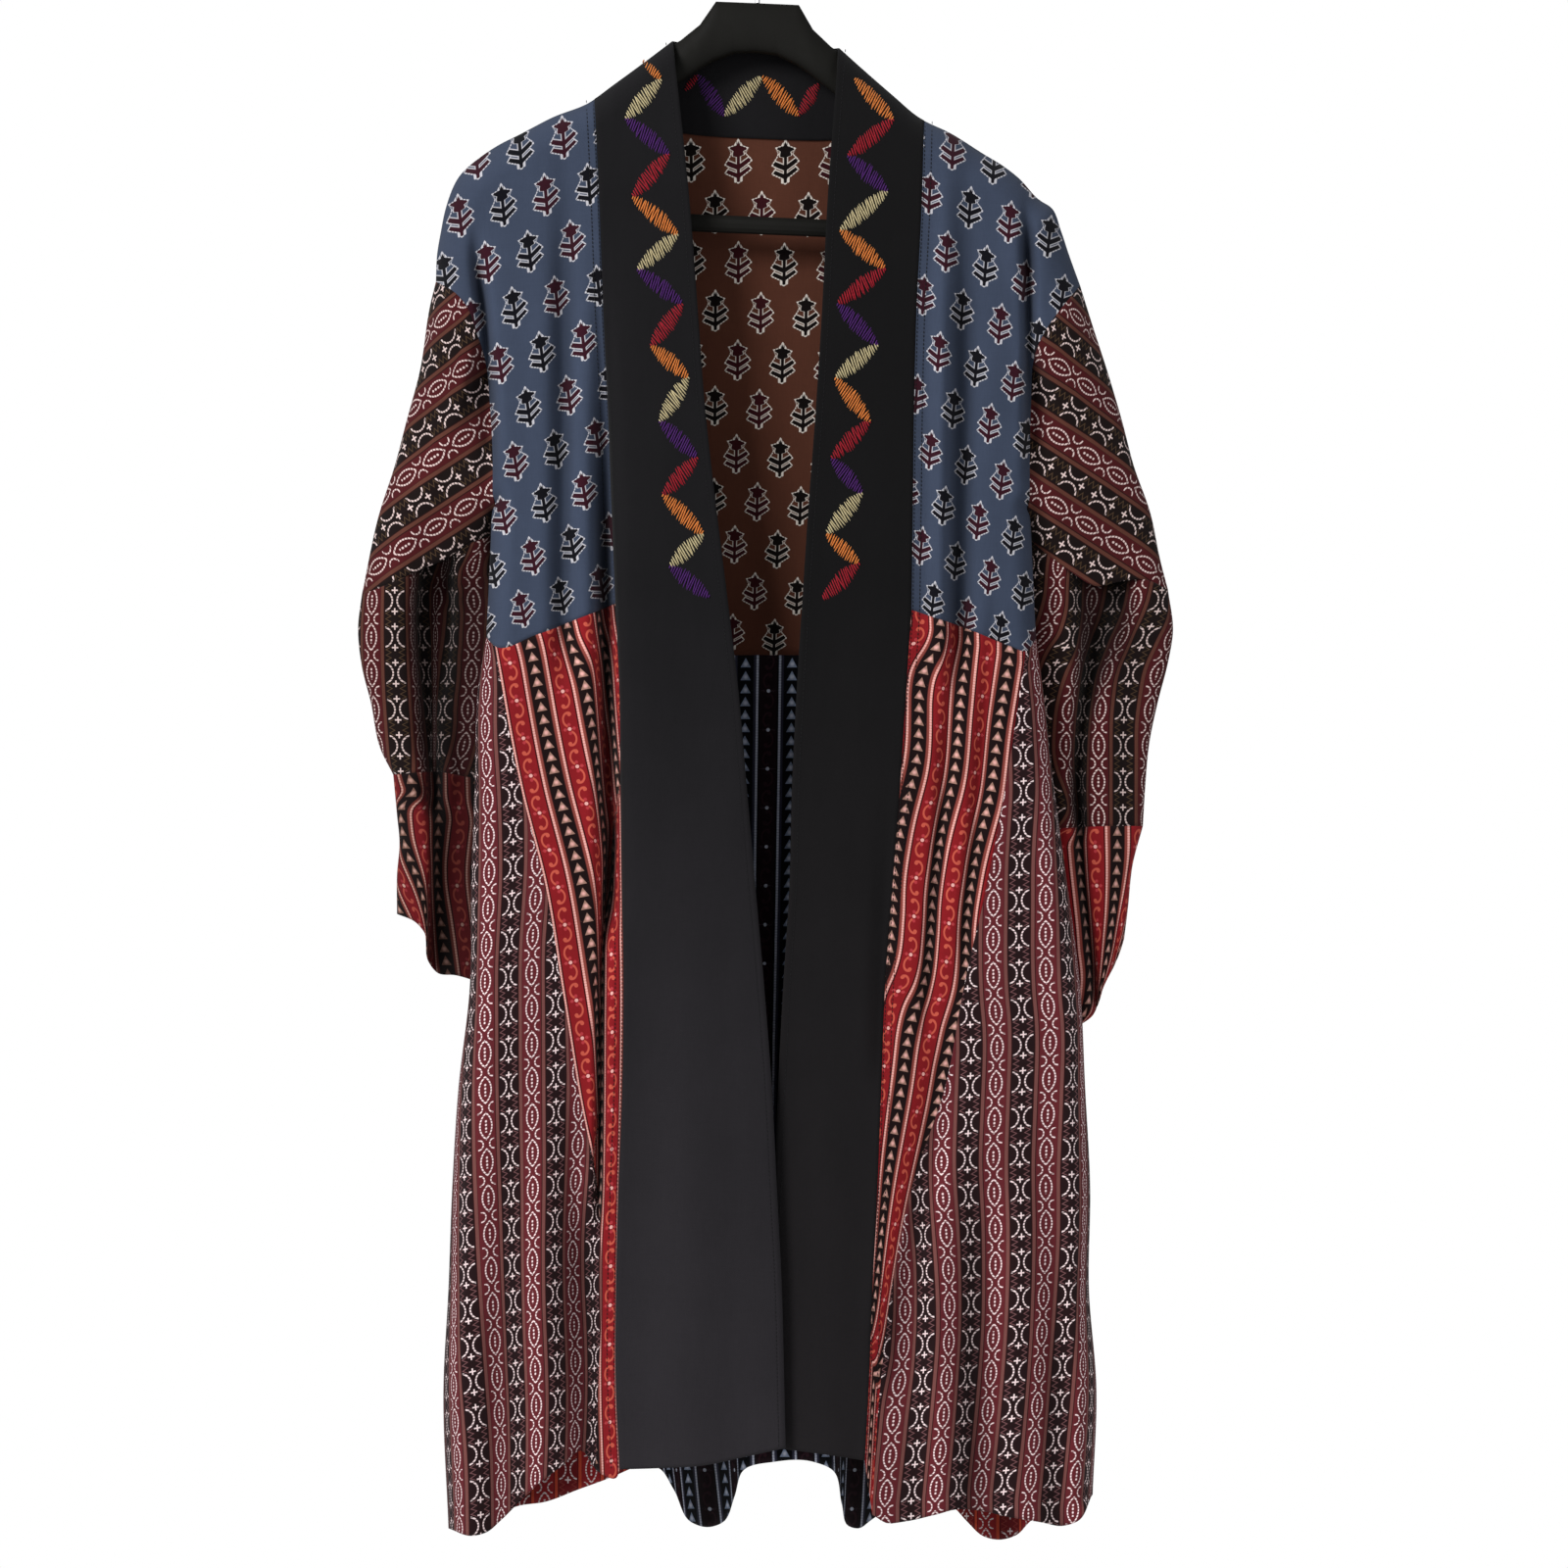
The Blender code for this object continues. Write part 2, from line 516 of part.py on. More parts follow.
def front_panels(lines, side_name):
    """Yoke, lower panel, side panel and band of one front."""
    def depth_of(plane):
        return front_depth(plane, lines)

    u = np.array(YOKE_COLUMNS)
    v = np.array(YOKE_ROWS)
    corner = share_of(lines["yoke_seam"], lines["panel"][0])
    seam_u = np.append((0, corner / 2), np.linspace(corner, 1, len(u) - 2))
    yoke = patch(share(lines["shoulder"], u), share(lines["yoke_seam"], seam_u), yoke_edge(lines, v),
                 share(lines["band_outer_top"], v), u, v)
    points, normals = sheet(yoke, depth_of, -1, ("top", "outer"))
    wall(f"yoke_front_{side_name}", points, normals, "blue")

    low = even(LOW_ROWS)
    panel_top = yoke[-1, 2:]
    panel_u = even(len(panel_top) - 1)
    panel = patch(panel_top, share(lines["hem_panel"], panel_u), share(lines["panel"], low),
                  share(lines["band_outer_low"], low), panel_u, low)
    wall(f"front_lower_{side_name}", *sheet(panel, depth_of, -1), "red")

    side_u = np.array(SIDE_COLUMNS)
    side_top = share(yoke[-1, :3], side_u)
    side = patch(side_top, share(lines["hem_side"], side_u), share(lines["side"], low),
                 share(lines["panel"], low), side_u, low)
    corner_edge = points[-1, :3], normals[-1, :3]
    side_sheet = sheet(side, depth_of, -1, ("outer",))
    wall(f"side_front_{side_name}", *sewn_to(corner_edge, side_u, *side_sheet), "wine")

    band_u = even(BAND_COLUMNS)
    middle = share(np.array([lines["band_outer_top"][-1], lines["band_inner_top"][-1]]), band_u)
    upper = patch(share(lines["neck_ridge"], band_u), middle, share(lines["band_outer_top"], v),
                  share(lines["band_inner_top"], v), band_u, v)
    lower = patch(middle, share(lines["hem_band"], band_u), share(lines["band_outer_low"], low),
                  share(lines["band_inner_low"], low), band_u, low)
    band = np.vstack([upper, lower[1:]])
    wall(f"band_{side_name}", *sheet(band, depth_of, -1, ("top",)), "black", BAND_CLOTH)


def back_panels(left, right):
    """Back neck band, back yoke and the three lower back panels."""
    def depth_of(plane):
        return back_depth(plane, left, right)

    u, v, low = np.array(YOKE_COLUMNS), np.array(YOKE_ROWS), even(LOW_ROWS)
    neck_u, neck_v = np.array(NECK_COLUMNS), even(BAND_COLUMNS)
    sides = [share(lines["neck_ridge"], 1 - NECK_SHARE * neck_v) for lines in (left, right)]
    neck_top = smooth_line([sides[0][0], NECK_MIDDLE_TOP, sides[1][0]])
    neck_bottom = smooth_line([sides[0][-1], *NECK_MIDDLE_BOTTOM, sides[1][-1]])
    neck = patch(share(neck_top, neck_u), share(neck_bottom, neck_u), *sides, neck_u, neck_v)
    wall("band_back_neck", *sheet(neck, depth_of, 1, ("outer", "inner")), "black", BAND_CLOTH)

    seam = smooth_line(BACK_SEAM)
    ends = [share_of(seam, point) for point in BACK_SEAM_MIDDLE]
    corners = [share_of(seam, lines["back_panel"][0]) for lines in (left, right)]
    halves = []
    for lines, start, corner, end in ((left, 0, corners[0], ends[0]), (right, 1, corners[1], ends[1])):
        seam_u = np.append((start, (start + corner) / 2), np.linspace(corner, end, len(u) - 2))
        bottom = share(seam, seam_u)
        inner = share(np.array([lines["shoulder"][-1], bottom[-1]]), v)
        halves.append(patch(share(lines["shoulder"], u), bottom, yoke_edge(lines, v), inner, u, v))
    middle_bottom = share(seam, ends[0] + (ends[1] - ends[0]) * neck_u)
    middle = patch(neck[-1], middle_bottom, halves[0][:, -1], halves[1][:, -1], neck_u, v)
    yoke = np.concatenate([halves[0], middle[:, 1:-1], halves[1][:, ::-1]], axis=1)
    points, normals = sheet(yoke, depth_of, 1, ("outer", "inner"))
    for half in (np.s_[0, : len(u)], np.s_[0, -len(u):]):
        normals[half] = unit(normals[half] * (1, 0, 1))
    wall("back_yoke", points, normals, "brown")

    top = yoke[-1, 2:-2]
    back_u = np.append(0, np.cumsum(np.linalg.norm(np.diff(top, axis=0), axis=1)))
    back_u /= back_u[-1]
    lower = patch(top, share(smooth_line(BACK_HEM), back_u), share(left["back_panel"], low),
                  share(right["back_panel"], low), back_u, low)
    wall("back_lower", *sheet(lower, depth_of, 1), "navy")

    side_u = np.array(SIDE_COLUMNS)
    for lines, name, corner in ((left, "left", np.s_[-1, :3]), (right, "right", np.s_[-1, :-4:-1])):
        side_top = share(yoke[corner], side_u)
        side = patch(side_top, share(lines["back_hem_side"], side_u), share(lines["side"], low),
                     share(lines["back_panel"], low), side_u, low)
        side_sheet = sheet(side, depth_of, 1, ("outer",))
        wall(f"back_side_{name}", *sewn_to((points[corner], normals[corner]), side_u, *side_sheet), "red")


def sleeve_section(along, place, hand):
    """Middle, half thickness and front fold of a sleeve, by the place along and across it."""
    table = np.array(SLEEVE_HANG, float)
    middle = np.interp(along, table[:, 0], table[:, 1])
    half = np.interp(along, table[:, 0], table[:, 2])
    bulge = (1 - abs(2 * place - 1) ** SLEEVE_ROUNDING) ** (1 / SLEEVE_ROUNDING)
    fold = np.zeros(np.broadcast(along, place).shape)
    for own, top, bottom, start, end, width, height in SLEEVE_FOLDS:
        if own == hand:
            centre = top + (bottom - top) * np.clip((along - start) / (end - start), 0, 1)
            grown = smoothstep(along, start, start + 0.35) * (1 - smoothstep(along, end, end + 0.2))
            fold += height * grown * np.exp(-((place - centre) / width) ** 2)
    return middle, half * bulge, fold * bulge


def sleeve(lines, left, right, side_name):
    """Upper sleeve, lower sleeve and cuff: one flat tube, cut at its seams."""
    hand = lines["hand"]
    u = np.array(YOKE_ROWS[: ARMHOLE_ROWS + 1]) / ARMHOLE_SHARE
    stretches = (
        ("armhole", "sleeve_seam", "sleeve_outer", "sleeve_inner", UPPER_SLEEVE_ROWS),
        ("sleeve_seam", "cuff_seam", "low_outer", "low_inner", LOWER_SLEEVE_ROWS),
        ("cuff_seam", "cuff_hem", "cuff_outer", "cuff_inner", CUFF_ROWS),
    )
    grids, along = [], []
    for number, (top, bottom, outer, inner, rows) in enumerate(stretches):
        v = even(rows)
        grid = patch(share(lines[top], u), share(lines[bottom], u), share(lines[outer], v),
                     share(lines[inner], v), u, v)
        skip = 1 if number else 0
        grids.append(grid[skip:])
        along.append(number + v[skip:])
    plane = np.vstack(grids)
    tangent = np.gradient(plane[0], axis=0)
    gap = ARMHOLE_GAP * (1 + 2 * u[:, None] ** 6)
    plane[0] += hand * gap * unit(np.stack([tangent[:, 1], -tangent[:, 0]], -1))
    along = np.concatenate(along)[:, None]
    middle, half, fold = sleeve_section(along, u[None], hand)
    at_seam = smoothstep(along, 0, SLEEVE_BLEND)
    front = (1 - at_seam) * front_depth(plane[:1], lines) + at_seam * (middle - half - fold)
    back = (1 - at_seam) * back_depth(plane[:1], left, right) + at_seam * (middle + half)
    points = np.concatenate([seen_at(plane, front), seen_at(plane, back)[:, -2:0:-1]], axis=1)
    down = np.gradient(points, axis=0)
    round_about = np.roll(points, -1, axis=1) - np.roll(points, 1, axis=1)
    normals = unit(np.cross(round_about, down))
    centre = points.mean(axis=1, keepdims=True)
    normals *= np.sign((normals * (points - centre)).sum(-1).sum(axis=1))[:, None, None]
    cut = 0
    for name, finish, rows in ((f"sleeve_upper_{side_name}", "wine", UPPER_SLEEVE_ROWS),
                               (f"sleeve_lower_{side_name}", "wine", LOWER_SLEEVE_ROWS),
                               (f"cuff_{side_name}", "red", CUFF_ROWS)):
        wall(name, points[cut: cut + rows + 1], normals[cut: cut + rows + 1], finish, tube=True)
        cut += rows


def loft(name, rings, finish):
    """A closed solid through rings of points, capped at both ends."""
    work = bmesh.new()
    skins = [[work.verts.new(np.array(p) * MM) for p in ring] for ring in rings]
    for near, far in zip(skins, skins[1:]):
        for i in range(len(near)):
            j = (i + 1) % len(near)
            work.faces.new((near[i], near[j], far[j], far[i]))
    work.faces.new(skins[0])
    work.faces.new(skins[-1])
    return new_object(name, finished(work, name), finish)


def hanger():
    """Moulded body with wide shoulders, trouser bar, and the hook bent from wire."""
    stations = [(-row[0], *row[1:]) for row in HANGER[:0:-1]] + list(HANGER)
    rings = []
    for offset, top, bottom, half, sharpness in stations:
        ring = []
        for k in range(ARM_SEGMENTS):
            angle = 2 * math.pi * k / ARM_SEGMENTS
            reach = math.copysign(abs(math.sin(angle)) ** sharpness, math.sin(angle))
            x, down = tilted(offset, (top + bottom) / 2 - math.cos(angle) * (bottom - top) / 2)
            ring.append((x, half * reach, -down))
        rings.append(ring)
    loft("hanger_body", rings, "hanger")

    bar = []
    for offset in (-BAR_END, BAR_END):
        ring = []
        for k in range(ARM_SEGMENTS):
            angle = 2 * math.pi * k / ARM_SEGMENTS
            down = (BAR_TOP + BAR_BOTTOM) / 2 - math.cos(angle) * (BAR_BOTTOM - BAR_TOP) / 2
            x, down = tilted(offset, down)
            ring.append((x, BAR_HALF_DEPTH * math.sin(angle), -down))
        bar.append(ring)
    loft("hanger_bar", bar, "hanger")
    hook()


def hook():
    """A question mark of wire: a stem out of the plate, then most of a circle over the rail."""
    radius = HOOK_INNER_RADIUS + HOOK_WIRE / 2
    path = list(HOOK_STEM)
    for k in range(HOOK_STEPS + 1):
        angle = math.radians(HOOK_START + HOOK_TURN * k / HOOK_STEPS)
        path.append((radius * math.cos(angle), HOOK_INNER_RADIUS - radius * math.sin(angle)))
    curve = bpy.data.curves.new("hook_path", "CURVE")
    curve.dimensions = "3D"
    curve.bevel_depth = HOOK_WIRE / 2 * MM
    curve.bevel_resolution = 2
    curve.use_fill_caps = True
    spline = curve.splines.new("POLY")
    spline.points.add(len(path) - 1)
    for point, (offset, down) in zip(spline.points, path):
        x, down = tilted(offset, down)
        point.co = (x * MM, 0, -down * MM, 1)
    guide = bpy.data.objects.new("hook_path", curve)
    COLLECTION.objects.link(guide)
    bpy.context.view_layer.update()
    mesh = bpy.data.meshes.new_from_object(guide.evaluated_get(bpy.context.evaluated_depsgraph_get()))
    bpy.data.objects.remove(guide)
    work = bmesh.new()
    work.from_mesh(mesh)
    bmesh.ops.remove_doubles(work, verts=work.verts, dist=1e-6)
    new_object("hanger_hook", finished(work, "hanger_hook"), "steel")


def build():
    left, right = lines_of(LEFT), lines_of(RIGHT)
    hanger()
    for lines, name in ((left, "left"), (right, "right")):
        front_panels(lines, name)
        sleeve(lines, left, right, name)
    back_panels(left, right)


for old in list(bpy.data.objects):
    bpy.data.objects.remove(old)
COLLECTION = bpy.data.collections.new("kimono_duster_on_hanger")
bpy.context.scene.collection.children.link(COLLECTION)
build()
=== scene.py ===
"""Looks of the kimono duster on its hanger: fine cloth with its folds, woven prints, stitching and embroidery.

Metres, +Z up, the front faces -Y. Tables are in millimetres: across (+ to the right, seen from the front),
down below the hook's bearing point, forward to the front. The cloth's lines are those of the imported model.
"""
import json
import math

import bpy
import numpy as np
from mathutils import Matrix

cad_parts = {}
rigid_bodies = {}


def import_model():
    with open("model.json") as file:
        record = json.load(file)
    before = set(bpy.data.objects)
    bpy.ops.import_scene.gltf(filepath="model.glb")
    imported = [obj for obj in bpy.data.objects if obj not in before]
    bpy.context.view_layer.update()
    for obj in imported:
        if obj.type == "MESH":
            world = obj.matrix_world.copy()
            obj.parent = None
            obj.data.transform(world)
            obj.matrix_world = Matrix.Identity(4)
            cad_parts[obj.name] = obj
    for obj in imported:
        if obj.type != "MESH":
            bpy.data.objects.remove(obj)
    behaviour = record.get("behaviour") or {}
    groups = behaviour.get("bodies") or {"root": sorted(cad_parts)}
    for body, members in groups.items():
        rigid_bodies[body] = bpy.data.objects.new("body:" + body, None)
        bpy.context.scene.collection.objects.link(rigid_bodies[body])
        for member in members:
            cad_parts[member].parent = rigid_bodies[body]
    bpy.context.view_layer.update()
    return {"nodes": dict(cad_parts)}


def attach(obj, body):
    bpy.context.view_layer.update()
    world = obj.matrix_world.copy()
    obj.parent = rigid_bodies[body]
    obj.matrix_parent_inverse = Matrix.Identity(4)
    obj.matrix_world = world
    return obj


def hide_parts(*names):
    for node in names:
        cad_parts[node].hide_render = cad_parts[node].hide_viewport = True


MM = 0.001
LINE_STEP = 2.0
CLOTH = 0.8
BAND_CLOTH = 1.4

# Camera, at the photograph's viewing angle
EYE_ACROSS = 18.7
EYE_DOWN = 678.6
EYE_AWAY = 2200.0
FRAME_WIDTH = 1248.0
SENSOR = 36.0

# Hanger
TILT = math.radians(2.4)
RIDGE_GAP = 2.4

# Hanger body, half of it
HANGER = (
    # offset from its middle, top down, bottom down, half thickness, sharpness of its upper and lower edge
    (0, 57.7, 96.4, 8.0, 0.6),
    (17, 57.7, 98.0, 8.0, 0.6),
    (33, 57.7, 105.0, 8.0, 0.6),
    (45, 76.5, 113.0, 8.0, 0.8),
    (60, 89.5, 123.5, 7.0, 1.0),
    (66, 93.1, 128.0, 6.0, 1.2),
    (86, 109.6, 141.0, 6.5, 1.3),
    (111, 129.6, 158.0, 7.5, 1.3),
    (131, 145.1, 170.0, 8.5, 1.3),
    (158, 157.1, 184.0, 9.5, 1.3),
    (186, 173.1, 200.0, 10.0, 1.3),
    (200, 180.8, 208.0, 10.0, 1.3),
    (200.3, 181.0, 243.0, 10.0, 1.3),
    (213, 190.0, 243.0, 9.0, 1.3),
    (221, 199.0, 238.0, 7.5, 1.3),
    (225, 210.0, 228.0, 5.0, 1.3),
)
SHOULDER_OFFSETS = (66, 86, 111, 131, 158, 186, 200, 213)
TIP_OFFSET, TIP_DOWN = 231, 205

# How far the front and the back hang from the hanger's plane, and how far forward their side edges lie
HANG = (
    # down, front forward, back backward, side edge forward, rounding at the ridge
    (90, 14, 15, 0, 12),
    (130, 19, 20, 0, 17),
    (200, 26, 27, 0, 23),
    (300, 29, 30, 0, 24),
    (440, 32, 33, 0, 22),
    (470, 33, 34, 5, 21),
    (500, 34, 35, 11, 20),
    (560, 36, 36, 13, 20),
    (760, 40, 38, 14, 20),
    (900, 43, 40, 8, 22),
    (1100, 47, 45, 0, 26),
    (1290, 50, 50, 0, 28),
)
RIDGE_ROUNDNESS = 0.6
FRONT_SIDE_ROUNDING, BACK_SIDE_ROUNDING = 18.0, 45.0
ARM_CREASE, ARM_CREASE_WIDTH = 9.0, 14.0
ARM_CREASE_START, ARM_CREASE_FULL = 300, 360
LAP_START, LAP_END, LAP_DEPTH = 780.0, 950.0, 5.0
LAP_INNER, LAP_OUTER = 30.0, 110.0

# Seams and edges of each front, as (across, down)
LEFT = dict(
    hand=-1,
    band_start=126,
    beyond_tip=((-250, 220), (-254, 239), (-257, 257), (-258, 279)),
    armhole=((-258, 279), (-245, 286), (-234, 298), (-226, 320), (-219, 341), (-215, 377), (-213, 413),
             (-213, 456)),
    side_top=((-213, 456), (-214, 475), (-215, 500), (-216, 523), (-218, 562)),
    yoke_seam=((-218, 562), (-211, 569), (-179, 560), (-145, 547), (-115, 535)),
    hem_side=((-248, 1271), (-231, 1277), (-218, 1274), (-206, 1264), (-194, 1252), (-176, 1235), (-158, 1221),
              (-143, 1209), (-131, 1224)),
    hem_panel=((-131, 1224), (-126, 1228), (-115, 1231), (-112, 1224)),
    hem_band=((-112, 1224), (-79, 1223), (-46, 1221), (-12, 1214), (20, 1207)),
    back_hem_side=((-248, 1271), (-231, 1268), (-211, 1260), (-192, 1253), (-172, 1250), (-145, 1240),
                   (-118, 1230), (-102, 1223)),
    sleeve_outer=((-258, 279), (-262, 295), (-271, 351), (-281, 388), (-291, 426), (-303, 463), (-317, 528)),
    low_outer=((-317, 528), (-320, 554), (-317, 585), (-310, 613), (-302, 651), (-292, 671)),
    cuff_outer=((-292, 671), (-289, 703), (-287, 725), (-289, 751), (-289, 782)),
    sleeve_seam=((-317, 528), (-293, 518), (-271, 508), (-250, 499), (-231, 486), (-219, 480)),
    cuff_seam=((-292, 671), (-257, 669), (-224, 675)),
    cuff_hem=((-289, 782), (-274, 789), (-268, 796), (-264, 820), (-257, 829), (-242, 831), (-228, 837)),
    sleeve_inner=((-213, 456), (-218, 467), (-219, 480)),
    low_inner=((-219, 480), (-217, 500), (-215, 525), (-216, 554), (-220, 601), (-222, 647), (-224, 675)),
    cuff_inner=((-224, 675), (-226, 725), (-227, 780), (-228, 837)),
)
RIGHT = dict(
    hand=1,
    band_start=137,
    beyond_tip=((231, 220), (239, 239), (245, 257), (254, 282)),
    armhole=((254, 282), (237, 303), (225, 321), (218, 339), (215, 377), (214, 421), (214, 460)),
    side_top=((214, 460), (215, 478), (216, 500), (217, 523), (219, 563)),
    yoke_seam=((219, 563), (211, 573), (199, 569), (167, 556), (120, 540)),
    hem_side=((264, 1244), (253, 1265), (241, 1269), (222, 1266), (198, 1262), (175, 1257), (155, 1256),
              (140, 1260), (112, 1266), (101, 1267), (89, 1260)),
    hem_panel=((89, 1260), (84, 1225), (83, 1217)),
    hem_band=((83, 1217), (50, 1212), (3, 1206)),
    back_hem_side=((264, 1244), (250, 1254), (233, 1256), (215, 1265), (204, 1276), (190, 1280), (177, 1277),
                   (165, 1266), (151, 1252), (128, 1246), (107, 1250)),
    sleeve_outer=((254, 282), (264, 314), (276, 351), (287, 388), (297, 426), (310, 463), (318, 501),
                  (324, 524)),
    low_outer=((324, 524), (328, 557), (324, 582), (316, 613), (309, 647), (306, 679), (304, 712)),
    cuff_outer=((304, 712), (296, 742), (292, 778), (289, 802)),
    sleeve_seam=((324, 524), (307, 516), (288, 517), (267, 521), (249, 511), (231, 497), (220, 484)),
    cuff_seam=((304, 712), (276, 712), (235, 714)),
    cuff_hem=((289, 802), (285, 815), (274, 838), (264, 863), (253, 875)),
    sleeve_inner=((214, 460), (219, 471), (220, 484)),
    low_inner=((220, 484), (218, 504), (217, 530), (221, 569), (226, 616), (231, 671), (235, 714)),
    cuff_inner=((235, 714), (239, 757), (246, 811), (253, 875)),
)

# Long seams at each level
LEVELS = (
    # down, band inner, band outer, panel, side, back panel; then the right ones
    (220, -56, -128, None, None, None, 53, 128, None, None, None),
    (300, -50, -125, None, None, None, 49, 124, None, None, None),
    (380, -44, -121, None, None, None, 44, 122, None, None, None),
    (460, -35, -118, None, None, None, 38, 121, None, None, None),
    (600, -18, -112, -206, -224, -206, 29, 116, 207, 224, 206),
    (680, -11, -111, -191, -227, -192, 25, 111, 195, 233, 192),
    (760, -4, -110, -171, -230, -176, 23, 105, 180, 244, 176),
    (840, 3, -109, -158, -231, -160, 18, 99, 162, 254, 160),
    (920, 9, -110, -145, -240, -144, 14, 96, 147, 258, 144),
    (1000, 13, -113, -130, -245, -131, 11, 93, 120, 262, 131),
    (1080, 17, -115, -126, -248, -120, 7, 89, 104, 261, 121),
    (1160, 19, -115, -129, -252, -111, 5, 86, 95, 267, 113),
)
# The levels between which each stretch of a long seam runs
YOKE_LEVELS, LOW_LEVELS, PANEL_LEVELS = (200, 500), (560, 1200), (590, 1200)
# Where the bands' inner edges pass the yoke's end: down, and the share of the way from one level to the next
YOKE_END, YOKE_END_SHARE = 545, 0.62
BACK_SEAM = ((-218, 562), (-211, 573), (-168, 576), (0, 576), (167, 576), (211, 573), (219, 563))
BACK_HEM = ((-102, 1223), (-81, 1223), (-69, 1240), (-55, 1266), (-42, 1270), (-30, 1266), (-21, 1246), (-14, 1225),
            (11, 1218), (42, 1218), (58, 1225), (65, 1252), (70, 1269), (78, 1271), (87, 1265), (107, 1250))
BACK_SEAM_MIDDLE = (-118, 118)
BACK_CORNER = (211, 573)
NECK_MIDDLE_TOP = (0, 92)
NECK_MIDDLE_BOTTOM = ((-98, 154), (-60, 161), (0, 165), (58, 166), (97, 162))
NECK_SHARE = 0.988

# Large folds of the front: hand, across and down at the top, across and down at the bottom, half width, forward
FRONT_FOLDS = (
    (-1, -157, 120, -158, 560, 9, -12),
    (-1, -128, 220, -120, 760, 8, -28),
    (-1, -152, 830, -139, 1230, 15, -17),
    (-1, -172, 880, -176, 1270, 13, 7),
    (-1, -206, 900, -212, 1290, 12, -8),
    (-1, -60, 640, -70, 1230, 30, 4),
    (1, 164, 120, 158, 560, 9, -12),
    (1, 147, 120, 142, 560, 8, 8),
    (1, 102, 660, 96, 880, 9, -7),
    (1, 160, 780, 108, 1130, 13, -11),
    (1, 138, 900, 142, 1290, 12, 8),
    (1, 168, 900, 172, 1290, 11, -9),
    (1, 200, 880, 204, 1290, 13, 7),
    (1, 232, 940, 236, 1290, 11, -8),
    (1, 55, 640, 48, 1220, 26, 4),
    (1, 161, 480, 132, 842, 6, -9),
    (1, 190, 480, 163, 796, 6, -8),
)
# Large folds of the back: across and down at the top, across and down at the bottom, half width, backward
BACK_FOLDS = (
    (-205, 760, -222, 1290, 15, 8),
    (-150, 700, -176, 1290, 17, -12),
    (-100, 640, -122, 1290, 18, 12),
    (-36, 620, -42, 1290, 18, -22),
    (14, 620, 18, 1290, 20, 12),
    (62, 640, 76, 1290, 17, -22),
    (112, 660, 132, 1290, 18, 12),
    (160, 720, 190, 1290, 18, -14),
    (205, 780, 234, 1290, 14, 8),
)
# A fold grows over this length, or over this share of its own, and one that ends above the hems fades out
FOLD_START, FOLD_GROWTH, FOLD_FADE, HEMS = 180.0, 0.6, 60, 1200
# Folds of the sleeves' front: hand, place across at the top and the bottom (0 outer, 1 inner),
# start and end down the sleeve (1 is the seam, 2 the cuff, 3 its hem), half width across, forward
SLEEVE_FOLDS = (
    (-1, 0.56, 0.46, 0.95, 2.1, 0.12, -22),
    (-1, 0.50, 0.62, 1.95, 3.2, 0.16, -8),
    (-1, 0.82, 0.80, 0.95, 3.2, 0.24, -19),
    (-1, 0.25, 0.22, 0.2, 1.2, 0.14, 3),
    (1, 0.42, 0.72, 0.95, 1.9, 0.09, -17),
    (1, 0.72, 0.72, 1.65, 3.2, 0.08, -12),
    (1, 0.20, 0.25, 1.0, 3.0, 0.10, -4),
    (1, 0.72, 0.75, 0.3, 2.6, 0.12, 3),
)
# The sleeve's section: down the sleeve as above, middle backward, half thickness
SLEEVE_HANG = (
    (0.0, 4, 28),
    (0.5, 9, 25),
    (1.0, 14, 20),
    (1.5, 17, 17),
    (2.0, 18, 16),
    (3.0, 19, 15),
)
SLEEVE_ROUNDING = 3.0
SLEEVE_BLEND = 0.45
SLEEVE_FOLD_GROWTH, SLEEVE_FOLD_FADE = 0.35, 0.2
SLEEVE_HOLLOW_START = 1.1
# Where a sleeve goes behind the body and where painted shade darkens its inner edge: places across, then down it
BEHIND_ACROSS, BEHIND_DOWN = (0.8, 1), (0, 0.25)
SHADED_ACROSS, SHADED_DOWN = (0.86, 1), (0.1, 0.4)

# Sharp creases of the front: hand, points along it, half width, forward
CREASES = (
    (-1, ((-229, 228), (-225, 270), (-221, 300), (-217, 350), (-213, 460)), 5.0, -17),
    (1, ((211, 200), (212, 236), (213, 270), (214, 320), (214, 460)), 5.0, -17),
    (-1, ((-112, 680), (-119, 735), (-125, 790), (-127, 850), (-128, 940), (-130, 1060)), 4.0, -18),
)
CREASE_START = 70.0
# Hollows of the lower sleeves under the upper ones: hand, place across, half width, depth, end down the sleeve
SLEEVE_HOLLOWS = (
    (-1, 0.56, 0.15, 26, 1.9),
    (1, 0.46, 0.20, 18, 1.65),
)

# How far the sleeves reach behind the body, and the back yoke behind the neck band
BEHIND_BODY, BEHIND_BAND = 5.0, 3.0
# The back yoke's top edge: the share of its length that lies behind the band, its curve,
# and how far back it goes
NECK_SHARE_DOWN, NECK_CURVE, NECK_BACK = 0.08, 0.3, 1.2
# The least gap between the front and the back of a sleeve
SLEEVE_LEAST = 4.0

# Grid steps
YOKE_GRID = (84, 150)
LOW_ROWS = 220
SIDE_COLUMNS = 60
PANEL_COLUMNS = 54
BAND_COLUMNS = 30
NECK_COLUMNS = 90
SLEEVE_COLUMNS = 70
SLEEVE_ROWS = (70, 60, 40)
GRADING = 1.35
HANGER_SEGMENTS = 36
STRAND_STEPS = 6
STRAND_ANGLES = (0.0, 0.8, 1.57, 2.34, 3.14)

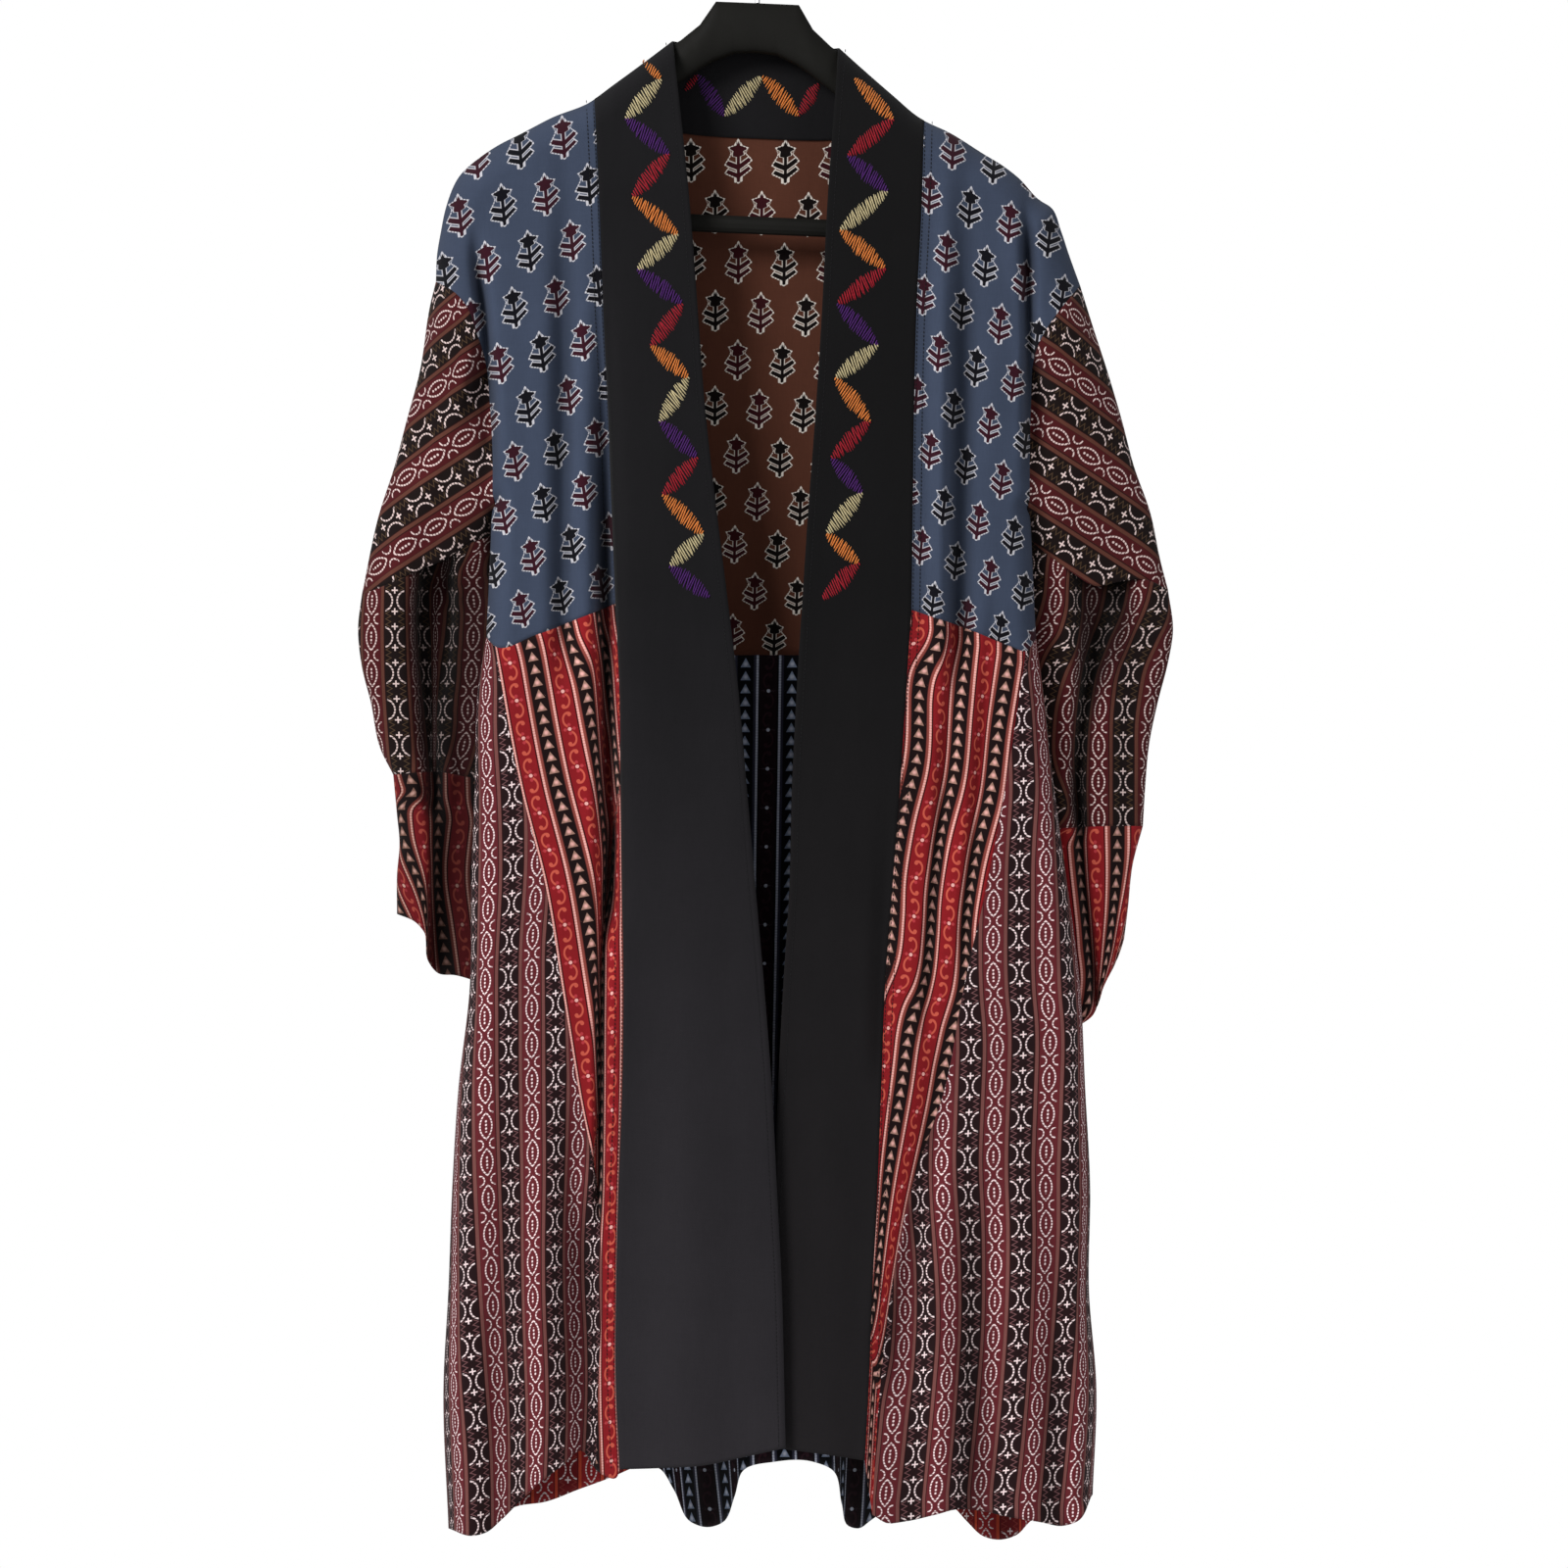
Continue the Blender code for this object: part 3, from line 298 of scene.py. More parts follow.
# Some sprigs of each print: column and row of the print, across and down in the hanger's plane
LATTICES = {
    "yoke_left": (
        (-2, 0, -240, 229), (0, 0, -171, 209), (1, 0, -138, 201), (0, -1, -156, 166), (0, 1, -183, 252),
        (-1, 1, -217, 260), (1, 5, -196, 422), (2, 5, -162, 414), (1, 6, -204, 465), (3, 7, -151, 489),
        (2, 8, -190, 539), (3, 8, -158, 526),
    ),
    "yoke_right": (
        (0, -1, 152, 175), (0, 0, 135, 209), (2, 0, 201, 227), (3, 0, 229, 248), (2, 1, 179, 264),
        (3, 2, 190, 310), (4, 3, 201, 357), (3, 4, 154, 381), (5, 4, 208, 404), (4, 6, 147, 459),
        (6, 6, 204, 482), (5, 7, 155, 502), (6, 8, 163, 542),
    ),
    "back_yoke": (
        (1, 0, 20, 186), (-1, 0, -55, 182), (2, 1, 38, 222), (2, 2, 19, 266), (1, 3, -37, 301),
        (3, 3, 36, 306), (2, 5, -35, 378), (4, 5, 34, 384), (5, 7, 32, 457), (4, 8, -21, 488),
        (6, 9, 29, 529),
    ),
}
# Half of a sprig's outline: up from its middle, half width
SPRIG = (
    (-16.6, 0.0), (-15.6, 2.3), (-12.4, 2.6), (-8.0, 10.5), (-7.1, 10.8), (-3.8, 8.0), (-3.3, 8.0), (-1.6, 10.8),
    (-0.6, 10.9), (4.4, 7.0), (6.2, 5.8), (9.2, 7.9), (10.2, 7.8), (11.8, 2.6), (16.4, 0.0),
)
# Half of its star, in the same way
STAR = ((2.8, 0.0), (4.2, 4.4), (5.4, 4.6), (7.4, 4.0), (9.0, 7.2), (10.4, 7.0), (12.0, 2.6), (15.9, 0.0))
SPRIG_LEAN, SPRIG_STROKE, SPRIG_DASHES = 0.17, 0.46, 15
# A print's cell across and two rows down
BLUE_REPEAT, BROWN_REPEAT = (35.5, 81.0), (39.4, 78.0)
WEAVE, WRINKLES = 0.7, 12.0
# Painted shade: how much darker the cloth is painted in a hollow, for each millimetre, and the limits of that
# painted shade and of the painted light on ridges
HOLLOW_SHADE = 0.045
DARKEST, PALEST = 0.3, 1.15
# Painted shade along each sleeve's inner edge beside the body, as millimetres of depth
SLEEVE_EDGE_PAINTED_SHADE = {"left": 16.0, "right": 2.0}

# Stripe prints: widths across and steps along
EYE_STRIPE, LINE_STRIPE, CROSS_STRIPE = 17.0, 3.1, 18.4
EYE_PERIOD = EYE_STRIPE + CROSS_STRIPE + 2 * LINE_STRIPE
EYE_STEP = 28.8
SCROLL_STRIPE, BEAD_STRIPE, ARROW_STRIPE = 14.0, 5.4, 12.7
SCROLL_PERIOD = SCROLL_STRIPE + ARROW_STRIPE + 2 * BEAD_STRIPE
SCROLL_STEP, ARROW_STEP = 31.0, 10.3
SLEEVE_STRIPE_RISE = math.radians(33)
# The middle of a stripe down each panel, as (across, down), and that middle's place in the print
STRIPES = {
    "side_front_left": (((-217, 574), (-219, 632), (-217, 690), (-216, 748), (-219, 830), (-218, 967),
                         (-216, 1023), (-214, 1074), (-211, 1128), (-207, 1195), (-206, 1290)), EYE_STRIPE / 2),
    "side_front_right": (((218, 580), (222, 614), (225, 650), (227, 680), (227, 760), (228, 846), (230, 870),
                          (229, 931), (227, 984), (227, 1035), (225, 1090), (222, 1145), (218, 1197), (213, 1250)),
                         EYE_STRIPE / 2),
    "front_lower_right": (((181, 572), (175, 621), (169, 680), (156, 742), (151, 774), (149, 807), (146, 835),
                           (137, 867), (126, 930), (110, 1010), (96, 1100), (80, 1200), (76, 1260)),
                          SCROLL_STRIPE / 2),
    "sleeve_lower_left": (((-291, 500), (-291, 560), (-290, 600), (-287, 650), (-286, 676)),
                          EYE_STRIPE + LINE_STRIPE + CROSS_STRIPE / 2),
    "sleeve_lower_right": (((302, 515), (294, 548), (286, 565), (275, 591), (270, 621), (269, 665), (269, 715)),
                           EYE_STRIPE / 2),
    "cuff_left": (((-256, 665), (-256, 700), (-258, 740), (-255, 785), (-247, 840)),
                  SCROLL_STRIPE + BEAD_STRIPE + ARROW_STRIPE / 2),
    "cuff_right": (((284, 705), (283, 751), (280, 786), (275, 820), (262, 880)),
                   SCROLL_STRIPE + BEAD_STRIPE + ARROW_STRIPE / 2),
}
# How much the weft of the front panels rises towards the right
WEFT_RISE = {"front_lower_left": 0.2, "side_front_left": 0.2, "front_lower_right": -0.2, "side_front_right": 0.1}
# The fold down the left lower front: beyond it the stripes follow the band. The print's place at both edges
TUCK = ((-108, 660), (-117, 720), (-124, 775), (-127, 830), (-128, 930), (-136, 1000), (-136, 1290))
TUCK_PLACES = (-3.2, 18.2)
# The left lower sleeve's stripes lean beyond its fold
SLEEVE_LEAN, LEAN_ACROSS, LEAN_DOWN, LEAN_BLEND = -0.26, -260, 508, 4
# The print on the upper sleeves: scale and shift across
SLEEVE_PRINT_SCALE = 0.885
SLEEVE_PRINT_SHIFTS = {"left": 27.5, "right": 32.5}
# The column of a sleeve's front where it starts to turn over its outer edge
OUTER_COLUMN = 49

# Embroidery: corners of each zigzag in the photograph's pixels, with the colour of the leaf that starts there
PIXEL, HOOK_PIXEL = 0.78, (776, -70)
LEAF_PITCH, LEAF_WIDTH = 2.05, 12.0
LEAVES = {
    "left": (
        ((656, 62), "orange"), ((675, 81), "cream"), ((638, 121), "purple"), ((683, 157), "crimson"),
        ((645, 201), "orange"), ((692, 239), "cream"), ((650, 275), "purple"), ((697, 310), "crimson"),
        ((664, 353), "orange"), ((703, 385), "cream"), ((673, 430), "purple"), ((712, 467), "crimson"),
        ((676, 505), "orange"), ((718, 545), "cream"), ((683, 578), "purple"), ((724, 609), ""),
    ),
    "right": (
        ((872, 80), "orange"), ((912, 122), "crimson"), ((865, 159), "purple"), ((906, 195), "cream"),
        ((857, 235), "orange"), ((904, 274), "crimson"), ((854, 310), "purple"), ((896, 352), "cream"),
        ((852, 386), "orange"), ((888, 430), "crimson"), ((848, 468), "purple"), ((880, 503), "cream"),
        ((843, 545), "orange"), ((877, 575), "crimson"), ((838, 612), ""),
    ),
    "neck": (
        ((699, 92), "crimson"), ((712, 77), "purple"), ((739, 118), "cream"), ((778, 78), "orange"),
        ((815, 118), "crimson"), ((836, 85), ""),
    ),
}
STITCH_PITCH, STITCH_LENGTH = 3.2, 2.3
# Half width and height of a stitch and of an embroidery thread
STITCH_SIZE, THREAD_SIZE = (0.3, 0.45), (0.62, 1.4)
LEAF_SLANT = 0.3
# How far the stitching lies inside a band's inner edge, and beyond its outer seam
INNER_INSET, OUTER_INSETS = 5.5, (6.7, 1.2)

# Light and floor
AMBIENT = 0.38
LIGHTS = (
    # name, place, aim, size, power
    ("key", (-1.9, -2.1, 0.9), (0, 0, -0.6), 1.2, 76),
    ("fill", (2.2, -2.4, -0.2), (0, 0, -0.7), 2.5, 14),
)
FLOOR_HALF, FLOOR_DOWN = 1.35, -1.78


def smooth_line(points):
    """A dense smooth line through the given points."""
    knots = np.array(points, float)
    reach = np.append(0, np.cumsum(np.linalg.norm(np.diff(knots, axis=0), axis=1)))
    slope = np.gradient(knots, reach, axis=0)
    at = np.unique(np.concatenate([np.linspace(a, b, int((b - a) / LINE_STEP) + 2)
                                   for a, b in zip(reach, reach[1:])]))
    i = np.clip(np.searchsorted(reach, at, side="right") - 1, 0, len(reach) - 2)
    span = (reach[i + 1] - reach[i])[:, None]
    t = (at - reach[i])[:, None] / span
    start = (1 + 2 * t) * (1 - t) ** 2 * knots[i] + t * (1 - t) ** 2 * span * slope[i]
    end = t * t * (3 - 2 * t) * knots[i + 1] + t * t * (t - 1) * span * slope[i + 1]
    return start + end


def reach_of(line):
    return np.append(0, np.cumsum(np.linalg.norm(np.diff(line, axis=0), axis=1)))


def share(line, fractions):
    """The points at these fractions of a line's length."""
    reach = reach_of(line)
    at = np.array(fractions) * reach[-1]
    return np.stack([np.interp(at, reach, line[:, k]) for k in (0, 1)], -1)


def even(count):
    return np.linspace(0, 1, count + 1)


def graded(count):
    """Fractions that lie closer together at the start, where the cloth turns over a ridge."""
    return even(count) ** GRADING


def patch(top, bottom, outer, inner, u, v):
    """A grid between four edges that meet at the corners: rows run down, columns run from outer to inner."""
    u = np.array(u)[None, :, None]
    v = np.array(v)[:, None, None]
    across = (1 - v) * top[None] + v * bottom[None]
    down = (1 - u) * outer[:, None] + u * inner[:, None]
    corners = (1 - u) * (1 - v) * top[0] + u * (1 - v) * top[-1] + (1 - u) * v * bottom[0] + u * v * bottom[-1]
    return across + down - corners


def between(top, bottom, outer, inner, u, v):
    """A grid between four lines, each cut at the fractions of the one that faces it."""
    return patch(share(top, u), share(bottom, u), share(outer, v), share(inner, v), u, v)


def smoothstep(x, low, high):
    t = np.clip((x - low) / (high - low), 0, 1)
    return t * t * (3 - 2 * t)


def distance(plane, line):
    """Distance in the hanger's plane from each point to a line."""
    gap = np.full(plane.shape[:-1], np.inf)
    for a, b in zip(line, line[1:]):
        along = b - a
        t = np.clip(((plane - a) * along).sum(-1) / max((along ** 2).sum(), 1e-9), 0, 1)
        gap = np.minimum(gap, np.linalg.norm(plane - a - t[..., None] * along, axis=-1))
    return gap


def rounded(gap, radius):
    """Rises from 0 at a ridge to 1 at this distance from it, like a round shoulder."""
    u = np.clip(gap / radius, 0, 1)
    return (1 - (1 - u) ** 2) ** RIDGE_ROUNDNESS


def tilted(offset, down):
    """A point of the upright hanger, turned about the hook as the hanger hangs."""
    return (offset * math.cos(TILT) - down * math.sin(TILT), down * math.cos(TILT) + offset * math.sin(TILT))


def hanger_top(offset):
    offsets, tops = np.array(HANGER, float).T[:2]
    return np.interp(abs(offset), offsets, tops)


def hang(down, column):
    table = np.array(HANG, float)
    return np.interp(down, table[:, 0], table[:, column])


def level_line(column, start, end, levels):
    """A long seam between its ends, through the levels that lie between the two given ones."""
    first, last = levels
    rows = [(row[column], row[0]) for row in LEVELS if row[column] is not None and first < row[0] < last]
    return smooth_line([start, *rows, end])


def lines_of(side):
    """All seams and edges of one front, as dense lines."""
    hand = side["hand"]
    base = 1 if hand < 0 else 6
    ridge = [tilted(hand * x, hanger_top(x) - RIDGE_GAP) for x in SHOULDER_OFFSETS]
    tip = tilted(hand * TIP_OFFSET, TIP_DOWN)
    shoulder = smooth_line([*ridge, tip, *side["beyond_tip"]])[::-1]
    start = np.argmin(abs(shoulder[:, 0] - tilted(hand * side["band_start"], hanger_top(side["band_start"]))[0]))
    lines = {name: smooth_line(side[name]) for name in side if name not in ("hand", "band_start", "beyond_tip")}
    lines["shoulder"] = shoulder[: start + 1]
    lines["neck_ridge"] = shoulder[start:]
    lines["shoulder"][0] = side["armhole"][0]
    yoke_end = side["yoke_seam"][-1]
    neck = tuple(shoulder[-1])
    corner = tuple(shoulder[start])
    panel_top = side["yoke_seam"][1]
    above, below = LEVELS[3][base], LEVELS[4][base]
    middle_inner = (above + YOKE_END_SHARE * (below - above), YOKE_END)
    lines["band_outer_top"] = level_line(base + 1, corner, yoke_end, YOKE_LEVELS)
    lines["band_outer_low"] = level_line(base + 1, yoke_end, side["hem_panel"][-1], LOW_LEVELS)
    lines["band_inner_top"] = level_line(base, neck, middle_inner, YOKE_LEVELS)
    lines["band_inner_low"] = level_line(base, middle_inner, side["hem_band"][-1], LOW_LEVELS)
    lines["panel"] = level_line(base + 2, panel_top, side["hem_side"][-1], PANEL_LEVELS)
    lines["side"] = level_line(base + 3, side["yoke_seam"][0], side["hem_side"][0], PANEL_LEVELS)
    back_corner = (hand * BACK_CORNER[0], BACK_CORNER[1])
    lines["back_panel"] = level_line(base + 4, back_corner, side["back_hem_side"][-1], PANEL_LEVELS)
    lines["ridge"] = np.vstack([shoulder[::-1], lines["sleeve_outer"][1:]])
    lines["side_ridge"] = np.vstack([lines["side_top"], lines["side"][1:]])
    lines["hand"] = hand
    return lines


def folds_at(plane, folds):
    """The sum of the folds: each is a soft ridge or trough along its line, growing from its upper end."""
    total = np.zeros(plane.shape[:-1])
    for x0, y0, x1, y1, width, height in folds:
        run = np.clip((plane[..., 1] - y0) / (y1 - y0), 0, 1)
        middle = x0 + (x1 - x0) * run
        grown = smoothstep(plane[..., 1], y0, y0 + max(FOLD_START, FOLD_GROWTH * (y1 - y0)))
        faded = 1 - smoothstep(plane[..., 1], y1, y1 + FOLD_FADE) if y1 < HEMS else 1
        total += height * grown * faded * np.exp(-((plane[..., 0] - middle) / width) ** 2)
    return total


def creases_at(plane, hand):
    """The sum of one side's sharp creases."""
    total = np.zeros(plane.shape[:-1])
    for own, points, width, height in CREASES:
        if own == hand:
            start, end = points[0][1], points[-1][1]
            deep = smoothstep(plane[..., 1], start, start + CREASE_START)
            deep *= 1 - smoothstep(plane[..., 1], end - CREASE_START, end)
            total += height * deep * np.exp(-(distance(plane, smooth_line(points)) / width) ** 2)
    return total


def front_depth(plane, lines):
    """Forward distance of the front cloth from the hanger's plane, as a negative depth."""
    hand = lines["hand"]
    x, down = plane[..., 0], plane[..., 1]
    full, edge, rounding = hang(down, 1), hang(down, 3), hang(down, 4)
    at_ridge = rounded(distance(plane, lines["ridge"]), rounding)
    at_side = rounded(distance(plane, lines["side_ridge"]), FRONT_SIDE_ROUNDING)
    crease = ARM_CREASE * (1 - rounded(distance(plane, lines["armhole"][len(lines["armhole"]) // 3:]),
                                       ARM_CREASE_WIDTH))
    crease *= smoothstep(down, ARM_CREASE_START, ARM_CREASE_FULL)
    forward = np.minimum(full * at_ridge, edge + (full - edge) * at_side) - crease * at_side
    own = [row[1:] for row in FRONT_FOLDS if row[0] == hand]
    forward += folds_at(plane, own) * at_side
    forward += creases_at(plane, hand) * at_side * at_ridge
    lap = smoothstep(down, LAP_START, LAP_END) * (1 - smoothstep(hand * x, LAP_INNER, LAP_OUTER))
    forward += -hand * LAP_DEPTH * lap
    return -forward


def back_depth(plane, left, right):
    """Backward distance of the back cloth from the hanger's plane."""
    down = plane[..., 1]
    full, edge, rounding = hang(down, 2), hang(down, 3), hang(down, 4)
    ridge_gap = np.minimum(distance(plane, left["ridge"]), distance(plane, right["ridge"]))
    side_gap = np.minimum(distance(plane, left["side_ridge"]), distance(plane, right["side_ridge"]))
    at_side = rounded(side_gap, BACK_SIDE_ROUNDING)
    backward = np.minimum(full * rounded(ridge_gap, rounding), (full + edge) * at_side - edge)
    return backward + folds_at(plane, BACK_FOLDS) * at_side


def seen_at(plane, depth):
    """Moves points of the outline along the line of sight to their depth."""
    scale = 1 + depth / EYE_AWAY
    across = EYE_ACROSS + (plane[..., 0] - EYE_ACROSS) * scale
    down = EYE_DOWN + (plane[..., 1] - EYE_DOWN) * scale
    return np.stack([across, depth, -down], -1)


def front_points(plane, lines):
    return seen_at(plane, front_depth(plane, lines))


def from_edge(points, plane, rise=0.0, column=0):
    """Cloth coordinates: how far each point is from an edge, measured over the folds, and how far down it is."""
    steps = np.linalg.norm(np.diff(points, axis=1), axis=-1)
    across = np.concatenate([np.zeros((len(points), 1)), np.cumsum(steps, axis=1)], axis=1)
    across -= across[:, column: column + 1]
    return np.stack([across, plane[..., 1] + rise * plane[..., 0]], -1)


def along_stripe(name, plane, coordinates):
    """Shifts cloth coordinates across, so that a stripe of the print lies along a given line."""
    if name in STRIPES:
        line, place = STRIPES[name]
        line = smooth_line(line)
        columns = plane.shape[1]
        for row, flat in zip(coordinates, plane):
            x = np.interp(flat[:, 1].mean(), line[:, 1], line[:, 0])
            for _ in range(2):
                down = np.interp(x, *flat[np.argsort(flat[:, 0])].T)
                x = np.interp(down, line[:, 1], line[:, 0])
            order = np.argsort(flat[:, 0])
            row[:, 0] += place - np.interp(x, flat[order, 0], row[:columns, 0][order])
    return coordinates


def on_lattice(plane, name):
    """Cloth coordinates in cells of a print, one across and two rows down, fitted through a few known sprigs."""
    column, row, across, down = np.array(LATTICES[name], float).T
    cells = np.stack([column - row / 2 + 0.5, row / 2 + 0.25], -1)

    def terms(x, y):
        return np.stack([np.ones_like(x), x, y, x * y / 100, y * y / 100], -1)
    fit = np.linalg.lstsq(terms(across, down), cells, rcond=None)[0]
    return terms(plane[..., 0], plane[..., 1]) @ fit


def back_cloth(name, points, coordinates, finish, thickness=CLOTH):
    """A sheet of the back, with painted shade where it lies further forward than the cloth beside it."""
    cloth(name, points, coordinates, finish, -hollow_of(points[..., 1]), thickness)


def linked(name, data):
    """A new object in the scene."""
    made = bpy.data.objects.new(name, data)
    bpy.context.scene.collection.objects.link(made)
    return made


def hollow_of(depth):
    """How much deeper each point lies than the cloth beside it in its row."""
    reach = max(depth.shape[1] // 5, 2)
    padded = np.pad(depth, ((0, 0), (reach, reach)), "edge")
    sums = np.cumsum(np.pad(padded, ((0, 0), (1, 0))), axis=1)
    return depth - (sums[:, 2 * reach + 1:] - sums[:, : -2 * reach - 1]) / (2 * reach + 1)


def cloth(name, points, coordinates, finish, painted_shade=None, thickness=CLOTH):
    """A sheet of cloth from a grid of points, with its print's coordinates and the amount of its painted shade, in
    place of its solid.
    """
    rows, columns = points.shape[:2]
    if painted_shade is None:
        painted_shade = hollow_of(points[..., 1])
    mesh = bpy.data.meshes.new(name)
    corner = np.arange(rows * columns).reshape(rows, columns)
    faces = np.stack([corner[:-1, :-1], corner[:-1, 1:], corner[1:, 1:], corner[1:, :-1]], -1).reshape(-1, 4)
    mesh.from_pydata((points.reshape(-1, 3) * MM).tolist(), [], faces.tolist())
    layer = mesh.uv_layers.new(name="Cloth")
    layer.data.foreach_set("uv", coordinates.reshape(-1, 2)[faces.ravel()].ravel())
    # The amount of painted shade at each point, kept with the mesh
    layer = mesh.uv_layers.new(name="Hollow")
    layer.data.foreach_set("uv", np.stack([painted_shade, painted_shade], -1).reshape(-1, 2)[faces.ravel()].ravel())
    mesh.shade_smooth()
    piece = linked(name + "_cloth", mesh)
    solid = piece.modifiers.new("thickness", "SOLIDIFY")
    solid.thickness = thickness * MM
    solid.offset = 0
    mesh.materials.append(MATERIALS[finish])
    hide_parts(name)
    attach(piece, "root")


class Field:
    """A number that varies over a surface: each sum or product adds a math node to the material."""

    def __init__(self, tree, socket):
        self.tree, self.socket = tree, socket

    def math(self, operation, *others, clamp=False):
        node = self.tree.nodes.new("ShaderNodeMath")
        node.operation, node.use_clamp = operation, clamp
        for slot, value in zip(node.inputs, (self, *others)):
            if isinstance(value, Field):
                self.tree.links.new(value.socket, slot)
            else:
                slot.default_value = value
        return Field(self.tree, node.outputs[0])

    def __add__(self, other):
        return self.math("ADD", other)

    def __sub__(self, other):
        return self.math("SUBTRACT", other)

    def __mul__(self, other):
        return self.math("MULTIPLY", other)

    def __abs__(self):
        return self.math("ABSOLUTE")

    def square(self):
        return self * self

    def part(self, period):
        """Place within a repeat, from 0 to the period."""
        return (self * (1 / period)).math("FRACT") * period

    def count(self, period):
        return (self * (1 / period)).math("FLOOR")

    def less(self, limit, soft=0.25):
        """1 where the field is below the limit, 0 above, with a narrow soft edge."""
        return (self - limit).math("MULTIPLY_ADD", -1 / soft, 0.5, clamp=True)

    def within(self, low, high, soft=0.25):
        return abs(self - (low + high) / 2).less((high - low) / 2, soft)

    def either(self, other):
        return self.math("MAXIMUM", other)

    def least(self, other):
        return self.math("MINIMUM", other)

    def table(self, rows):
        """Reads a table of (place, value), with straight lines between its rows."""
        low, high = rows[0][0], rows[-1][0]
        top = max(value for _, value in rows)
        node = self.tree.nodes.new("ShaderNodeFloatCurve")
        line = node.mapping.curves[0]
        for _ in rows[2:]:
            line.points.new(0.5, 0.5)
        for spot, (place, value) in zip(line.points, rows):
            spot.location = ((place - low) / (high - low), value / top)
            spot.handle_type = "VECTOR"
        node.mapping.update()
        self.tree.links.new(((self - low) * (1 / (high - low))).socket, node.inputs["Value"])
        return Field(self.tree, node.outputs[0]) * top


def length(x, y):
    return (x.square() + y.square()).math("SQRT")


class Paint:
    """The colour of a print: each layer covers the ones below where its field is 1."""

    def __init__(self, tree, ground):
        self.tree = tree
        node = tree.nodes.new("ShaderNodeRGB")
        node.outputs[0].default_value = (*ground, 1)
        self.socket = node.outputs[0]

    def over(self, field, colour):
        node = self.tree.nodes.new("ShaderNodeMix")
        node.data_type = "RGBA"
        self.tree.links.new(field.socket, node.inputs["Factor"])
        self.tree.links.new(self.socket, node.inputs["A"])
        if isinstance(colour, Paint):
            self.tree.links.new(colour.socket, node.inputs["B"])
        else:
            node.inputs["B"].default_value = (*colour, 1)
        self.socket = node.outputs["Result"]
        return self

    def shaded(self, field):
        """The colour multiplied by a field."""
        scale = self.tree.nodes.new("ShaderNodeVectorMath")
        scale.operation = "SCALE"
        self.tree.links.new(self.socket, scale.inputs[0])
        self.tree.links.new(field.socket, scale.inputs["Scale"])
        self.socket = scale.outputs[0]
        return self


def new_material(name, roughness, sheen, gloss):
    material = bpy.data.materials.new(name)
    material.use_nodes = True
    shader = material.node_tree.nodes["Principled BSDF"]
    shader.inputs["Roughness"].default_value = roughness
    shader.inputs["Sheen Weight"].default_value = sheen
    shader.inputs["Sheen Roughness"].default_value = 0.5
    shader.inputs["Specular IOR Level"].default_value = gloss
    return material, material.node_tree, shader


def noise(tree, scale, detail=2.0, stretch=(1, 1, 1)):
    """Smooth random variation between 0 and 1 over the piece, in its own space."""
    place = tree.nodes.new("ShaderNodeTexCoord")
    size = tree.nodes.new("ShaderNodeMapping")
    size.inputs["Scale"].default_value = stretch
    node = tree.nodes.new("ShaderNodeTexNoise")
    node.inputs["Scale"].default_value = scale
    node.inputs["Detail"].default_value = detail
    tree.links.new(place.outputs["Object"], size.inputs["Vector"])
    tree.links.new(size.outputs["Vector"], node.inputs["Vector"])
    return Field(tree, node.outputs["Fac"])


def height_bump(tree, shader, height, millimetres):
    bump = tree.nodes.new("ShaderNodeBump")
    bump.inputs["Distance"].default_value = millimetres * MM
    tree.links.new(height.socket, bump.inputs["Height"])
    tree.links.new(bump.outputs["Normal"], shader.inputs["Normal"])


def painted(tree, shader, paint):
    tree.links.new(paint.socket, shader.inputs["Base Color"])


def woven(tree, shader, paint, x, y):
    """A plain weave: slight fading, slubs along the threads both ways, painted shade in hollows and painted light
    on ridges, and the threads' own relief.
    """
    slubs = noise(tree, 90.0, 2.0, (12, 12, 1)) * 0.16 + noise(tree, 90.0, 2.0, (1, 1, 12)) * 0.12
    paint.shaded(noise(tree, 22.0, 3.0) * 0.24 + slubs + 0.74)
    # Painted shade in hollows and painted light on ridges, from the amount stored with the mesh
    painted_shade = stored(tree, "Hollow")[0]
    paint.shaded((painted_shade * -HOLLOW_SHADE + 1.0).least(PALEST).either(DARKEST))
    painted(tree, shader, paint)
    threads = (x * (2 * math.pi / WEAVE)).math("SINE") * (y * (2 * math.pi / WEAVE)).math("SINE")
    wrinkles = noise(tree, 13.0, 3.0, (1.7, 1, 0.5)) * WRINKLES
    height_bump(tree, shader, threads * 0.25 + slubs * 1.6 + wrinkles, 0.22)


def stored(tree, name="Cloth"):
    """The two numbers stored with a piece's mesh: the print's coordinates, or the amount of painted shade at a
    place.
    """
    layer = tree.nodes.new("ShaderNodeUVMap")
    layer.uv_map = name
    split = tree.nodes.new("ShaderNodeSeparateXYZ")
    tree.links.new(layer.outputs["UV"], split.inputs["Vector"])
    return Field(tree, split.outputs["X"]), Field(tree, split.outputs["Y"])


